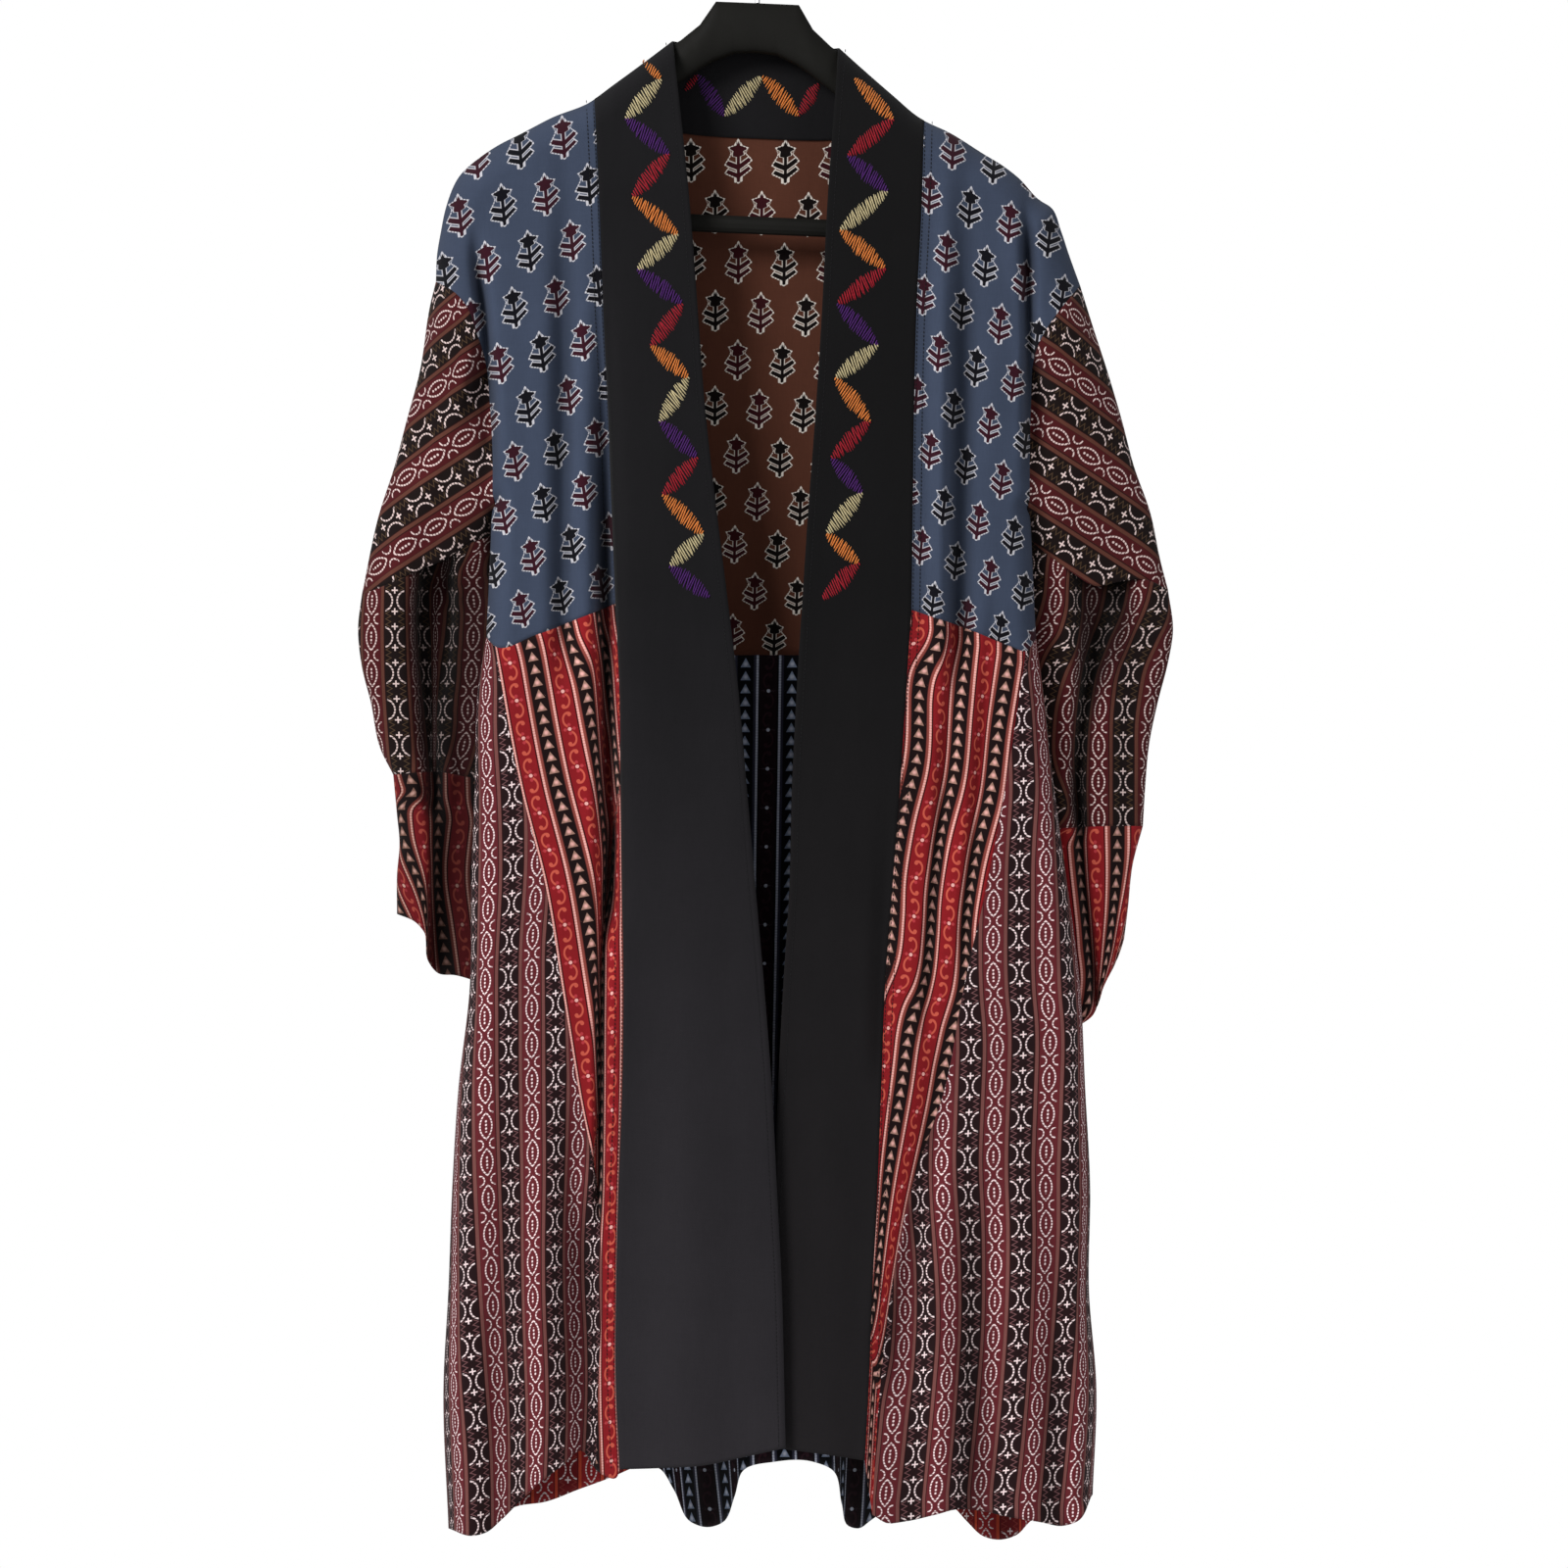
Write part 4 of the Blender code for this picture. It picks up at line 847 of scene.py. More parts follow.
def sprig_print(name, ground, dark, wine, chalk, across_mm, rows_mm):
    """Small flower sprigs in staggered rows, dark and wine by turns, with a dashed chalk outline."""
    material, tree, shader = new_material(name, 0.9, 0.05, 0.12)
    u, v = stored(tree)
    row = v.count(0.5)
    shifted = u + row.part(2.0) * 0.5
    column = shifted.count(1.0)
    x = (shifted.part(1.0) - 0.5) * across_mm
    y = (v.part(0.5) - 0.25) * -rows_mm
    leafy = (y * -0.3 + 2.0).least(1.0).either(0.0)
    y = y - x * leafy * SPRIG_LEAN
    side = abs(x)
    half = y.table(SPRIG)
    slopes = [abs((b[1] - a[1]) / (b[0] - a[0])) for a, b in zip(SPRIG, SPRIG[1:])]
    slopes = [min(max(pair), 2.4) for pair in zip([0, *slopes], [*slopes, 0])]
    stroke = y.table([(place, SPRIG_STROKE * math.hypot(1, slope)) for (place, _), slope in zip(SPRIG, slopes)])
    inside = side.less(half, 0.5) * y.within(SPRIG[0][0], SPRIG[-1][0])
    turn = y.math("ARCTAN2", side + 0.01)
    dashes = (turn * (SPRIG_DASHES / math.pi)).part(1.0).within(0.12, 0.9, 0.12)
    outline = abs(side - half).less(stroke, 0.35) * dashes * y.within(SPRIG[0][0] - 0.5, SPRIG[-1][0] + 0.5)
    paint = Paint(tree, ground)
    by_turns = Paint(tree, dark).over((column + row).part(2.0).less(0.5, 0.1), wine)
    star = (side - y.table(STAR)).either(abs(y - 9.4) - 6.5)
    arms = abs(y - side * 0.5 + 4.9).least(abs(y - side * 0.5 + 11.6)) * 0.89 - 1.75
    dark_gap = arms.least(side - 1.3).least(star)
    paint.over(inside * dark_gap.less(0.8, 0.5), chalk)
    paint.over(inside * dark_gap.less(0.1, 0.5), by_turns)
    paint.over(outline, chalk)
    woven(tree, shader, paint, u * across_mm, v * rows_mm)
    return material


def eye_stripe_print(name, colours):
    """Stripes by turns: dashed eyes on one, crosses between arcs on the other, and a plain line between them."""
    maroon, line, edge, black, chalk, olive = colours
    material, tree, shader = new_material(name, 0.9, 0.05, 0.12)
    u, v = stored(tree)
    place = u.part(EYE_PERIOD)
    paint = Paint(tree, black)
    x = place - EYE_STRIPE / 2
    side = abs(x)
    paint.over(side.less(EYE_STRIPE / 2), maroon)
    y = v.part(EYE_STEP) - EYE_STEP / 2
    dashes = v.part(2.3).less(1.7, 0.4)
    lens = abs(length(side + 8.6, y) - 13.5).less(0.6) * dashes
    near = abs(abs(y) - EYE_STEP / 2)
    arcs = abs(length(side - 6.6, near) - 4.0).less(0.55) * side.less(6.6) * dashes
    dots = length(x * 1.1, abs(v.part(2.9) - 1.45)).less(0.9, 0.5) * abs(y).less(5.0)
    paint.over(lens.either(arcs).either(dots) * side.less(EYE_STRIPE / 2 - 0.6), chalk)
    x = place - (EYE_STRIPE + LINE_STRIPE + CROSS_STRIPE / 2)
    side = abs(x)
    y = abs(v.part(EYE_STEP) - EYE_STEP / 2)
    gap = abs(y - EYE_STEP / 2)
    zigzag = abs(side - (abs(gap.part(4.4) - 2.2) * 2.0 + 3.2)).less(0.6, 0.5)
    paint.over(zigzag * gap.less(6.4, 1.5), olive)
    up = abs(y - 8.4)
    cross = up.either(side).less(2.6) * up.least(side).less(0.56)
    arcs = abs(length(side - 10.1, y) - 8.1).less(0.62) * side.less(7.9) * dashes
    paint.over(cross.either(arcs), chalk)
    for centre in (EYE_STRIPE + LINE_STRIPE / 2, EYE_PERIOD - LINE_STRIPE / 2):
        gap = abs(place - centre)
        paint.over(gap.less(LINE_STRIPE / 2 + 0.5), edge)
        paint.over(gap.less(LINE_STRIPE / 2 - 0.2), line)
    woven(tree, shader, paint, u, v)
    return material


def arrow_stripe_print(name, colours):
    """Stripes by turns: scrolls with a dotted flower on one, triangles on the other, beaded lines between."""
    red, scroll, petal, flank, bead, edge, black, arrow, light = colours
    material, tree, shader = new_material(name, 0.88, 0.05, 0.12)
    u, v = stored(tree)
    place = u.part(SCROLL_PERIOD)
    paint = Paint(tree, black)
    x = place - SCROLL_STRIPE / 2
    paint.over(abs(x).less(SCROLL_STRIPE / 2), red)
    y = v.part(SCROLL_STEP) - SCROLL_STEP / 2
    turned = y.less(0.0, 0.05) * 2.0 - 1.0
    x, y = x * turned, y * turned
    curl = abs(length((x - 0.4) * (1 / 4.3), (y + 7.7) * (1 / 5.6)) - 1.0).less(0.17, 0.08)
    curl = curl * (x + y * 0.35).less(-1.9, 0.5)
    ball = length(x - 1.7, y + 11.9).less(1.6)
    paint.over(curl.either(ball), scroll)
    far, near = abs(x).either(abs(y)), abs(x).least(abs(y))
    paint.over(length(near, far - 3.6).less(1.35, 0.5), petal)
    paint.over(length(x, y).less(1.45), light)
    x = abs(place - (SCROLL_STRIPE + BEAD_STRIPE + ARROW_STRIPE / 2))
    y = v.part(ARROW_STEP) - ARROW_STEP / 2
    paint.over((x * 1.8 - y).less(3.7, 0.6) * y.less(3.8), arrow)
    paint.over(length(x, y - 1.1).less(1.5, 1.8), light)
    gap = x - ARROW_STRIPE / 2
    beads = Paint(tree, bead).over(length(gap - 3.3, v.part(2.2) - 1.1).less(0.95, 0.6), light)
    paint.over(gap.within(0.0, BEAD_STRIPE), edge)
    paint.over(gap.within(0.3, 2.8, 0.9), flank)
    paint.over(gap.within(2.3, 4.3), beads)
    woven(tree, shader, paint, u, v)
    return material


def plain_cloth(name, low, high):
    """Plain cotton with painted light that makes it a little paler towards the hem."""
    material, tree, shader = new_material(name, 0.92, 0.04, 0.15)
    place = tree.nodes.new("ShaderNodeTexCoord")
    split = tree.nodes.new("ShaderNodeSeparateXYZ")
    tree.links.new(place.outputs["Object"], split.inputs["Vector"])
    # Painted light: the cloth is painted paler towards the hem, where the band catches more light
    down = (Field(tree, split.outputs["Z"]) * -1.0).math("MULTIPLY_ADD", 1 / 0.7, -0.75, clamp=True)
    u, v = stored(tree)
    paint = Paint(tree, high).over(down, low).shaded(noise(tree, 9.0, 3.0, (2, 1, 0.4)) * 0.5 + 0.75)
    woven(tree, shader, paint, u, v)
    return material


def thread(name, colour):
    """Embroidery cotton: soft sheen, with the strands' twist."""
    material, tree, shader = new_material(name, 0.7, 0.08, 0.2)
    paint = Paint(tree, colour).shaded(noise(tree, 420.0, 3.0) * 1.3 + 0.35)
    painted(tree, shader, paint)
    height_bump(tree, shader, noise(tree, 1500.0, 1.0), 0.3)
    return material


def moulded(name, colour, roughness, grain, metal=0.0):
    """A moulded or drawn surface: one colour with slight mottling, scuffs and a fine grain."""
    material, tree, shader = new_material(name, roughness, 0.0, 0.15)
    shader.inputs["Metallic"].default_value = metal
    paint = Paint(tree, colour).shaded(noise(tree, 60.0, 4.0) * 0.5 + 0.75)
    painted(tree, shader, paint)
    rough = noise(tree, 120.0, 4.0) * 0.25 + (roughness - 0.12)
    tree.links.new(rough.socket, shader.inputs["Roughness"])
    height_bump(tree, shader, noise(tree, grain, 2.0), 0.12)
    return material


def linear(code):
    """A colour written as on a screen, as light."""
    values = [int(code[i: i + 2], 16) / 255 for i in (1, 3, 5)]
    return tuple(c / 12.92 if c <= 0.04045 else ((c + 0.055) / 1.055) ** 2.4 for c in values)


def colours(*codes):
    return [linear(code) for code in codes]


def prints():
    blue = colours("#3d4659", "#0b0b12", "#33101c", "#c4c2c8")
    brown = colours("#573225", "#0e0706", "#380f15", "#e4dad0")
    wine = colours("#66252b", "#794a46", "#321314", "#241315", "#ffe6e6", "#82585a")
    # Painted shade: darker copies of the wine and red prints, for the sleeves and the left cuff
    wine_painted_shade = colours("#4c171a", "#5e372d", "#240d0d", "#190f0e", "#e6cdc8", "#54402e")
    red_line = colours("#8e2024", "#b8442f", "#4a1014", "#6c171b", "#e4d2d2", "#8c3a34")
    red = colours("#8c1a20", "#cc5a48", "#b83a40", "#8c443c", "#cc7a6c", "#420c10", "#1a0b0c", "#a27a6c",
                  "#f2b4ac")
    red_painted_shade = colours("#6e141a", "#a0463a", "#8e2c32", "#6c332c", "#a0584c", "#32090c", "#160a0a", "#7c5a4e",
                         "#c4988c")
    navy = colours("#1c0c13", "#301a22", "#28171e", "#343444", "#84889c", "#07080e", "#07080e", "#8490a8",
                   "#c4c8d8")
    return {
        "blue": sprig_print("sprigs_on_blue", *blue, *BLUE_REPEAT),
        "brown": sprig_print("sprigs_on_brown", *brown, *BROWN_REPEAT),
        "wine": eye_stripe_print("eyes_on_wine", wine),
        "red_line": eye_stripe_print("eyes_on_red", red_line),
        "red": arrow_stripe_print("scrolls_on_red", red),
        "wine_painted_shade": eye_stripe_print("eyes_on_wine_painted_shade", wine_painted_shade),
        "red_painted_shade": arrow_stripe_print("scrolls_on_red_painted_shade", red_painted_shade),
        "navy": arrow_stripe_print("scrolls_on_navy", navy),
        "black": plain_cloth("black_cotton", linear("#2f2c30"), linear("#161517")),
        # Painted shade: a darker copy of the black cotton for the right band
        "black_painted_shade": plain_cloth("black_cotton_painted_shade", linear("#211e20"), linear("#0f0e0f")),
        "hanger": moulded("hanger_plastic", linear("#13120f"), 0.65, 1400.0),
        "steel": moulded("hook_steel", (0.55, 0.55, 0.55), 0.3, 300.0, 1.0),
        "stitch": thread("black_thread", linear("#0e0d10")),
        "orange": thread("orange_thread", linear("#d8803c")),
        "cream": thread("cream_thread", linear("#c6b88e")),
        "purple": thread("purple_thread", linear("#4a1c66")),
        "crimson": thread("crimson_thread", linear("#9c1426")),
    }


def front_panels(lines, side_name):
    """Yoke, lower panel, side panel and band of one front."""
    u, v, low = graded(YOKE_GRID[0]), graded(YOKE_GRID[1]), even(LOW_ROWS)
    yoke_outer = np.vstack([lines["armhole"], lines["side_top"][1:]])
    yoke = between(lines["shoulder"], lines["yoke_seam"], yoke_outer, lines["band_outer_top"], u, v)
    cloth(f"yoke_front_{side_name}", front_points(yoke, lines), on_lattice(yoke, f"yoke_{side_name}"), "blue")

    corner = np.argmin(np.linalg.norm(lines["yoke_seam"] - lines["panel"][0], axis=1))
    panel_u = even(PANEL_COLUMNS)
    panel = between(lines["yoke_seam"][corner:], lines["hem_panel"], lines["panel"], lines["band_outer_low"],
                    panel_u, low)
    points = front_points(panel, lines)
    name = f"front_lower_{side_name}"
    coordinates = along_stripe(name, panel, from_edge(points, panel, WEFT_RISE[name]))
    if side_name == "left":
        tuck = smooth_line(TUCK)
        beyond = panel[..., 0] > np.interp(panel[..., 1], tuck[:, 1], tuck[:, 0])
        across = coordinates[..., 0]
        coordinates[..., 0] = np.where(beyond, across - across[:, -1:] + TUCK_PLACES[1], across + TUCK_PLACES[0])
    cloth(name, points, coordinates, "red")

    side_u = graded(SIDE_COLUMNS)
    side = between(lines["yoke_seam"][: corner + 1], lines["hem_side"], lines["side"], lines["panel"],
                   side_u, low)
    points = front_points(side, lines)
    name = f"side_front_{side_name}"
    cloth(name, points, along_stripe(name, side, from_edge(points, side, WEFT_RISE[name])), "wine")

    band_u = even(BAND_COLUMNS)
    middle = share(np.array([lines["band_outer_top"][-1], lines["band_inner_top"][-1]]), band_u)
    upper = patch(share(lines["neck_ridge"], band_u), middle, share(lines["band_outer_top"], v),
                  share(lines["band_inner_top"], v), band_u, v)
    lower = patch(middle, share(lines["hem_band"], band_u), share(lines["band_outer_low"], low),
                  share(lines["band_inner_low"], low), band_u, low)
    band = np.vstack([upper, lower[1:]])
    points = front_points(band, lines)
    # The right band gets the darker copy of the black cotton, as painted shade
    finish = "black" if side_name == "left" else "black_painted_shade"
    cloth(f"band_{side_name}", points, from_edge(points, band), finish, thickness=BAND_CLOTH)


def back_panels(left, right):
    """Back neck band, back yoke and the three lower back panels."""
    u, v, low = graded(YOKE_GRID[0])[::2], graded(YOKE_GRID[1])[::2], even(LOW_ROWS // 2)
    neck_u, neck_v = even(NECK_COLUMNS), even(BAND_COLUMNS)
    sides = [share(lines["neck_ridge"], 1 - NECK_SHARE * neck_v) for lines in (left, right)]
    neck_top = smooth_line([sides[0][0], NECK_MIDDLE_TOP, sides[1][0]])
    neck_bottom = smooth_line([sides[0][-1], *NECK_MIDDLE_BOTTOM, sides[1][-1]])
    neck = patch(share(neck_top, neck_u), share(neck_bottom, neck_u), *sides, neck_u, neck_v)
    points = seen_at(neck, back_depth(neck, left, right))
    back_cloth("band_back_neck", points, from_edge(points, neck), "black", BAND_CLOTH)

    seam = smooth_line(BACK_SEAM)
    reach = reach_of(seam)
    reach = reach / reach[-1]
    ends = [np.interp(x, seam[:, 0], reach) for x in BACK_SEAM_MIDDLE]
    corners = [reach[np.argmin(np.linalg.norm(seam - lines["back_panel"][0], axis=1))]
               for lines in (left, right)]
    halves = []
    for lines, start, end in ((left, 0, ends[0]), (right, 1, ends[1])):
        outer = share(np.vstack([lines["armhole"], lines["side_top"][1:]]), v)
        bottom = share(seam, start + (end - start) * u)
        inner = share(np.array([lines["shoulder"][-1], bottom[-1]]), v)
        halves.append(patch(share(lines["shoulder"], u), bottom, outer, inner, u, v))
    middle_bottom = share(seam, ends[0] + (ends[1] - ends[0]) * neck_u)
    middle = patch(neck[-1], middle_bottom, halves[0][:, -1], halves[1][:, -1], neck_u, v)
    tucked = (1 - smoothstep(v, 0, NECK_SHARE_DOWN))[:, None]
    middle[..., 1] -= BEHIND_BAND * tucked * np.sin(math.pi * neck_u) ** NECK_CURVE
    yoke = np.concatenate([halves[0], middle[:, 1:-1], halves[1][:, ::-1]], axis=1)
    points = seen_at(yoke, back_depth(yoke, left, right) + NECK_BACK * tucked)
    back_cloth("back_yoke", points, on_lattice(yoke, "back_yoke"), "brown")

    back_u = even(2 * SIDE_COLUMNS)
    top = share(seam, corners[0] + (corners[1] - corners[0]) * back_u)
    lower = patch(top, share(smooth_line(BACK_HEM), back_u), share(left["back_panel"], low),
                  share(right["back_panel"], low), back_u, low)
    points = seen_at(lower, back_depth(lower, left, right))
    back_cloth("back_lower", points, from_edge(points, lower, column=SIDE_COLUMNS), "navy")

    side_u = graded(SIDE_COLUMNS)
    for lines, name, start, corner in ((left, "left", 0, corners[0]), (right, "right", 1, corners[1])):
        side = patch(share(seam, start + (corner - start) * side_u), share(lines["back_hem_side"], side_u),
                     share(lines["side"], low), share(lines["back_panel"], low), side_u, low)
        points = seen_at(side, back_depth(side, left, right))
        coordinates = along_stripe(f"side_front_{name}", side, from_edge(points, side))
        back_cloth(f"back_side_{name}", points, coordinates, "red_line")


def sleeve_section(along, place, hand):
    """Middle, half thickness and front fold of a sleeve, by the place along and across it."""
    table = np.array(SLEEVE_HANG, float)
    middle = np.interp(along, table[:, 0], table[:, 1])
    half = np.interp(along, table[:, 0], table[:, 2])
    bulge = (1 - abs(2 * place - 1) ** SLEEVE_ROUNDING) ** (1 / SLEEVE_ROUNDING)
    fold = np.zeros(np.broadcast(along, place).shape)
    for own, top, bottom, start, end, width, height in SLEEVE_FOLDS:
        if own == hand:
            centre = top + (bottom - top) * np.clip((along - start) / (end - start), 0, 1)
            grown = smoothstep(along, start, start + SLEEVE_FOLD_GROWTH)
            grown *= 1 - smoothstep(along, end, end + SLEEVE_FOLD_FADE)
            fold += height * grown * np.exp(-((place - centre) / width) ** 2)
    return middle, half * bulge, fold * bulge


def sleeve(lines, left, right, side_name):
    """Upper sleeve, lower sleeve and cuff: one flat tube, cut at its seams and closed on its inner side."""
    hand = lines["hand"]
    u = 0.5 - 0.5 * np.cos(math.pi * even(SLEEVE_COLUMNS))
    stretches = (
        ("sleeve_upper", "armhole", "sleeve_seam", "sleeve_outer", "sleeve_inner"),
        ("sleeve_lower", "sleeve_seam", "cuff_seam", "low_outer", "low_inner"),
        ("cuff", "cuff_seam", "cuff_hem", "cuff_outer", "cuff_inner"),
    )
    for number, (name, top, bottom, outer, inner) in enumerate(stretches):
        v = even(SLEEVE_ROWS[number])
        plane = between(lines[top], lines[bottom], lines[outer], lines[inner], u, v)
        along = (number + v)[:, None]
        behind = smoothstep(along, *BEHIND_DOWN) * smoothstep(u, *BEHIND_ACROSS)[None]
        plane[..., 0] -= hand * BEHIND_BODY * behind
        middle, half, fold = sleeve_section(along, u[None], hand)
        if name == "sleeve_lower":
            for own, centre, width, depth, end in SLEEVE_HOLLOWS:
                if own == hand:
                    faded = 1 - smoothstep(along, SLEEVE_HOLLOW_START, end)
                    fold -= depth * faded * np.exp(-((u[None] - centre) / width) ** 4)
        at_seam = smoothstep(along, 0, SLEEVE_BLEND)
        armhole = share(lines["armhole"], u)[None]
        fold = np.maximum(fold, -2 * half + SLEEVE_LEAST)
        front = (1 - at_seam) * front_depth(armhole, lines) + at_seam * (middle - half - fold)
        back = (1 - at_seam) * back_depth(armhole, left, right) + at_seam * (middle + half)
        # Painted shade: the depth of the sleeve's folds, and painted shade along its inner edge beside the body
        at_edge = smoothstep(u, *SHADED_ACROSS)[None] * smoothstep(along, *SHADED_DOWN)
        shade = -fold * at_seam + SLEEVE_EDGE_PAINTED_SHADE[side_name] * at_edge
        painted_shade = np.concatenate([shade[:, ::-1], 0 * shade[:, 1:]], axis=1)
        points = np.concatenate([seen_at(plane, front)[:, ::-1], seen_at(plane, back)[:, 1:]], axis=1)
        both = np.concatenate([plane[:, ::-1], plane[:, 1:]], axis=1)
        if name == "sleeve_upper":
            unrolled = np.concatenate([plane[:, ::-1, 0], 2 * plane[:, :1, 0] - plane[:, 1:, 0]], axis=1)
            excess = hand * (unrolled[:, :1] - unrolled) + from_edge(points, both)[..., 0]
            x = unrolled + hand * np.maximum(excess - excess[:, OUTER_COLUMN, None], 0)
            rise = hand * SLEEVE_STRIPE_RISE
            across = both[..., 1] * math.cos(rise) - x * math.sin(rise)
            down = x * math.cos(rise) + both[..., 1] * math.sin(rise)
            coordinates = np.stack([across, down], -1)
            coordinates = coordinates * (hand * SLEEVE_PRINT_SCALE, hand) + (SLEEVE_PRINT_SHIFTS[side_name], 0)
        else:
            coordinates = from_edge(points, both, 0.0, SLEEVE_COLUMNS)
            coordinates = along_stripe(f"{name}_{side_name}", plane[:, ::-1], coordinates)
        if name == "sleeve_lower" and hand < 0:
            front_half = (np.arange(both.shape[1]) < SLEEVE_COLUMNS)[None]
            leaning = smoothstep(both[..., 0], LEAN_ACROSS - LEAN_BLEND, LEAN_ACROSS + LEAN_BLEND) * front_half
            coordinates[..., 0] += SLEEVE_LEAN * leaning * (both[..., 1] - LEAN_DOWN)
        # The sleeves and the left cuff get the darker copies of their prints, as painted shade
        finish = "wine_painted_shade" if name != "cuff" else "red_painted_shade" if hand < 0 else "red"
        cloth(f"{name}_{side_name}", points, coordinates, finish, painted_shade)


def hanger():
    """The moulded body, smoother than its solid."""
    table = np.array(HANGER, float)
    offsets = np.unique(np.concatenate([table[:, 0], np.arange(0, 66, 3.0)]))
    stations = [[side * x, *[np.interp(x, table[:, 0], table[:, k]) for k in range(1, 5)]]
                for side, xs in ((-1, offsets[:0:-1]), (1, offsets)) for x in xs]
    verts, faces = [], []
    for offset, top, bottom, half, sharpness in stations:
        for k in range(HANGER_SEGMENTS):
            angle = 2 * math.pi * k / HANGER_SEGMENTS
            reach = math.copysign(abs(math.sin(angle)) ** sharpness, math.sin(angle))
            x, down = tilted(offset, (top + bottom) / 2 - math.cos(angle) * (bottom - top) / 2)
            verts.append((x * MM, half * reach * MM, -down * MM))
    for i in range(len(stations) - 1):
        for k in range(HANGER_SEGMENTS):
            a, b = i * HANGER_SEGMENTS + k, i * HANGER_SEGMENTS + (k + 1) % HANGER_SEGMENTS
            faces.append((a, b, b + HANGER_SEGMENTS, a + HANGER_SEGMENTS))
    faces.append(tuple(range(HANGER_SEGMENTS)))
    faces.append(tuple(len(verts) - 1 - k for k in range(HANGER_SEGMENTS)))
    mesh = bpy.data.meshes.new("hanger_body_fine")
    mesh.from_pydata(verts, [], faces)
    mesh.shade_smooth()
    mesh.materials.append(MATERIALS["hanger"])
    piece = linked("hanger_body_fine", mesh)
    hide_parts("hanger_body")
    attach(piece, "root")


def sewn(name, finish, runs, surface):
    """Threads as short raised strands: each run is (start, end, half width, height) in the hanger's plane."""
    starts, ends, widths, heights = (np.array(column, float) for column in zip(*runs))
    t = even(STRAND_STEPS)
    rise = np.sin(math.pi * t) ** 0.4
    ahead = ends - starts
    plane = starts[:, None] + ahead[:, None] * t[None, :, None]
    aside = np.stack([-ahead[:, 1], ahead[:, 0]], -1) / np.linalg.norm(ahead, axis=1, keepdims=True)
    angles = np.array(STRAND_ANGLES)[None, :, None]
    reach = widths[:, None, None] * np.cos(angles) * (0.35 + 0.65 * rise)
    ring = plane[:, None] + aside[:, None, None] * reach[..., None]
    depth = surface(plane)[:, None] - heights[:, None, None] * np.sin(angles) * rise
    corner = np.arange(depth.size).reshape(depth.shape)
    faces = np.stack([corner[:, :-1, :-1], corner[:, :-1, 1:], corner[:, 1:, 1:], corner[:, 1:, :-1]], -1)
    mesh = bpy.data.meshes.new(name)
    mesh.from_pydata((seen_at(ring, depth).reshape(-1, 3) * MM).tolist(), [], faces.reshape(-1, 4).tolist())
    mesh.shade_smooth()
    mesh.materials.append(MATERIALS[finish])
    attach(linked(name, mesh), "root")


def leaf(start, end, rng):
    """Satin stitches across a pointed leaf between two points."""
    along = end - start
    reach = np.linalg.norm(along)
    ahead = along / reach
    aside = np.array([-ahead[1], ahead[0]])
    slant = LEAF_SLANT * np.sign(along[0] * along[1])
    widest = min(LEAF_WIDTH, 0.3 * reach) / 2
    runs = []
    for t in np.arange(0.6, reach - 0.4, LEAF_PITCH) / reach:
        half = widest * math.sin(math.pi * t) ** 0.7 * rng.uniform(0.84, 1.12) + 0.7
        middle = start + along * t + ahead * rng.uniform(-0.25, 0.25)
        reach_out = aside * half + ahead * half * (slant + rng.uniform(-0.14, 0.14))
        runs.append((middle - reach_out, middle + reach_out, *THREAD_SIZE))
    return runs


def plane_point(pixel):
    """A place in the photograph, in the hanger's plane."""
    return np.array([(pixel[0] - HOOK_PIXEL[0]) * PIXEL, (pixel[1] - HOOK_PIXEL[1]) * PIXEL])


def embroidery(left, right):
    """A zigzag of leaves in four colours down each band and along the back of the neck."""
    rng = np.random.default_rng(4)
    surfaces = {
        "left": lambda plane: front_depth(plane, left) - BAND_CLOTH / 2,
        "right": lambda plane: front_depth(plane, right) - BAND_CLOTH / 2,
        "neck": lambda plane: back_depth(plane, left, right) - BAND_CLOTH / 2,
    }
    for where, corners in LEAVES.items():
        runs = {}
        for (start, colour), (end, _) in zip(corners, corners[1:]):
            runs.setdefault(colour, []).extend(leaf(plane_point(start), plane_point(end), rng))
        for colour, stitches in runs.items():
            sewn(f"embroidery_{where}_{colour}", colour, stitches, surfaces[where])


def stitch_line(line, inset, hand):
    """Dashes beside a line in the hanger's plane."""
    line = share(line, even(int(reach_of(line)[-1] / 1.0)))
    ahead = np.gradient(line, axis=0)
    ahead /= np.linalg.norm(ahead, axis=1, keepdims=True)
    moved = line + inset * hand * np.stack([ahead[:, 1], -ahead[:, 0]], -1)
    count = int(reach_of(moved)[-1] / STITCH_PITCH)
    at = np.arange(count) / count
    start, end = share(moved, at), share(moved, at + STITCH_LENGTH / STITCH_PITCH / count)
    return [(a, b, *STITCH_SIZE) for a, b in zip(start, end)]


def stitching(left, right):
    """Topstitching inside the bands' edges and beside their seams."""
    for lines, name in ((left, "left"), (right, "right")):
        def surface(plane, lines=lines):
            return front_depth(plane, lines) - BAND_CLOTH / 2
        hand = lines["hand"]
        inner = np.vstack([lines["band_inner_top"], lines["band_inner_low"][1:]])
        outer = np.vstack([lines["band_outer_top"], lines["band_outer_low"][1:]])
        sewn(f"topstitch_band_{name}", "stitch", stitch_line(inner, INNER_INSET, hand), surface)
        runs = [run for inset in OUTER_INSETS for run in stitch_line(outer, inset, hand)]
        sewn(f"topstitch_panel_{name}", "stitch", runs, surface)


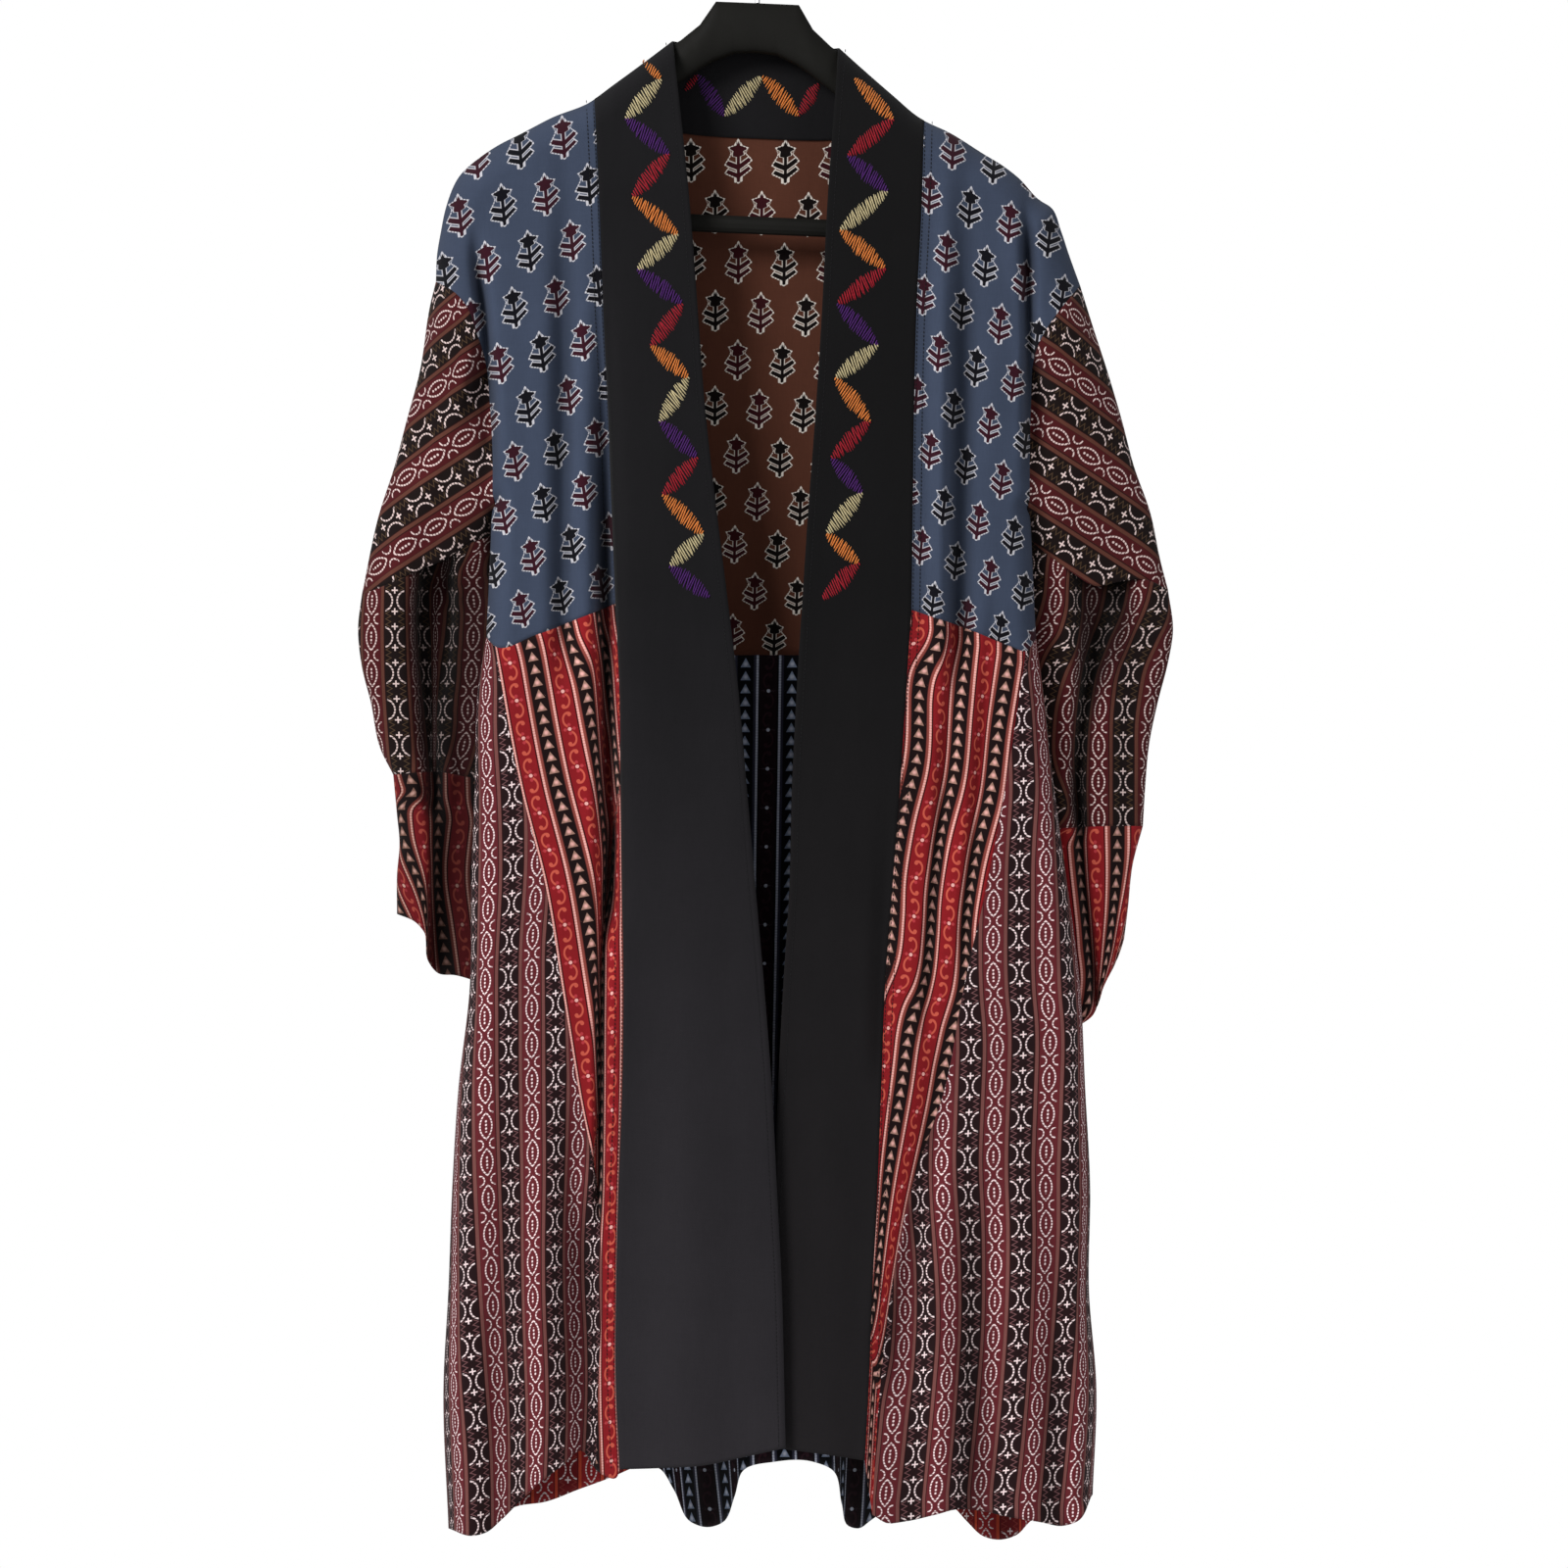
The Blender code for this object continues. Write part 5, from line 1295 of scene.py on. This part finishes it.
def stage():
    """Pale floor, soft daylight and the camera."""
    scene = bpy.context.scene
    scene.view_settings.view_transform = "Standard"
    scene.view_settings.look = "None"
    world = bpy.data.worlds.new("daylight")
    scene.world = world
    world.use_nodes = True
    tree = world.node_tree
    ambient = tree.nodes["Background"]
    ambient.inputs["Color"].default_value = (0.96, 0.98, 1.0, 1)
    ambient.inputs["Strength"].default_value = AMBIENT
    seen = tree.nodes.new("ShaderNodeBackground")
    seen.inputs["Color"].default_value = (1, 1, 1, 1)
    rays = tree.nodes.new("ShaderNodeLightPath")
    choice = tree.nodes.new("ShaderNodeMixShader")
    tree.links.new(rays.outputs["Is Camera Ray"], choice.inputs[0])
    tree.links.new(ambient.outputs[0], choice.inputs[1])
    tree.links.new(seen.outputs[0], choice.inputs[2])
    tree.links.new(choice.outputs[0], tree.nodes["World Output"].inputs["Surface"])

    half, down = FLOOR_HALF, FLOOR_DOWN
    mesh = bpy.data.meshes.new("floor")
    mesh.from_pydata([(-half, -half, down), (half, -half, down), (half, half, down), (-half, half, down)], [],
                     [(0, 1, 2, 3)])
    pale, tree, shader = new_material("floor_pale", 0.8, 0.0, 0.3)
    paint = Paint(tree, (0.82, 0.82, 0.81)).shaded(noise(tree, 3.0, 2.0) * 0.04 + 0.97)
    painted(tree, shader, paint)
    mesh.materials.append(pale)
    linked("floor", mesh)

    for name, place, target, size, power in LIGHTS:
        light = bpy.data.lights.new(name, "AREA")
        light.size = size
        light.energy = power
        lamp = linked(name, light)
        lamp.location = place
        direction = np.array(target) - np.array(place)
        yaw = math.atan2(direction[0], direction[1])
        pitch = math.atan2(direction[2], math.hypot(direction[0], direction[1]))
        lamp.rotation_euler = (math.pi / 2 + pitch, 0, -yaw)

    camera = bpy.data.cameras.new("camera")
    camera.sensor_width = SENSOR
    camera.lens = SENSOR * EYE_AWAY / FRAME_WIDTH
    viewer = linked("camera", camera)
    viewer.location = (EYE_ACROSS * MM, -EYE_AWAY * MM, -EYE_DOWN * MM)
    viewer.rotation_euler = (math.pi / 2, 0, 0)
    scene.camera = viewer


for old in list(bpy.data.objects):
    bpy.data.objects.remove(old)
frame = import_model()
stage()
MATERIALS = prints()
left_front, right_front = lines_of(LEFT), lines_of(RIGHT)
for front, front_name in ((left_front, "left"), (right_front, "right")):
    front_panels(front, front_name)
    sleeve(front, left_front, right_front, front_name)
back_panels(left_front, right_front)
hanger()
embroidery(left_front, right_front)
stitching(left_front, right_front)
for node, finish in (("hanger_bar", "hanger"), ("hanger_hook", "steel")):
    frame["nodes"][node].data.materials.clear()
    frame["nodes"][node].data.materials.append(MATERIALS[finish])
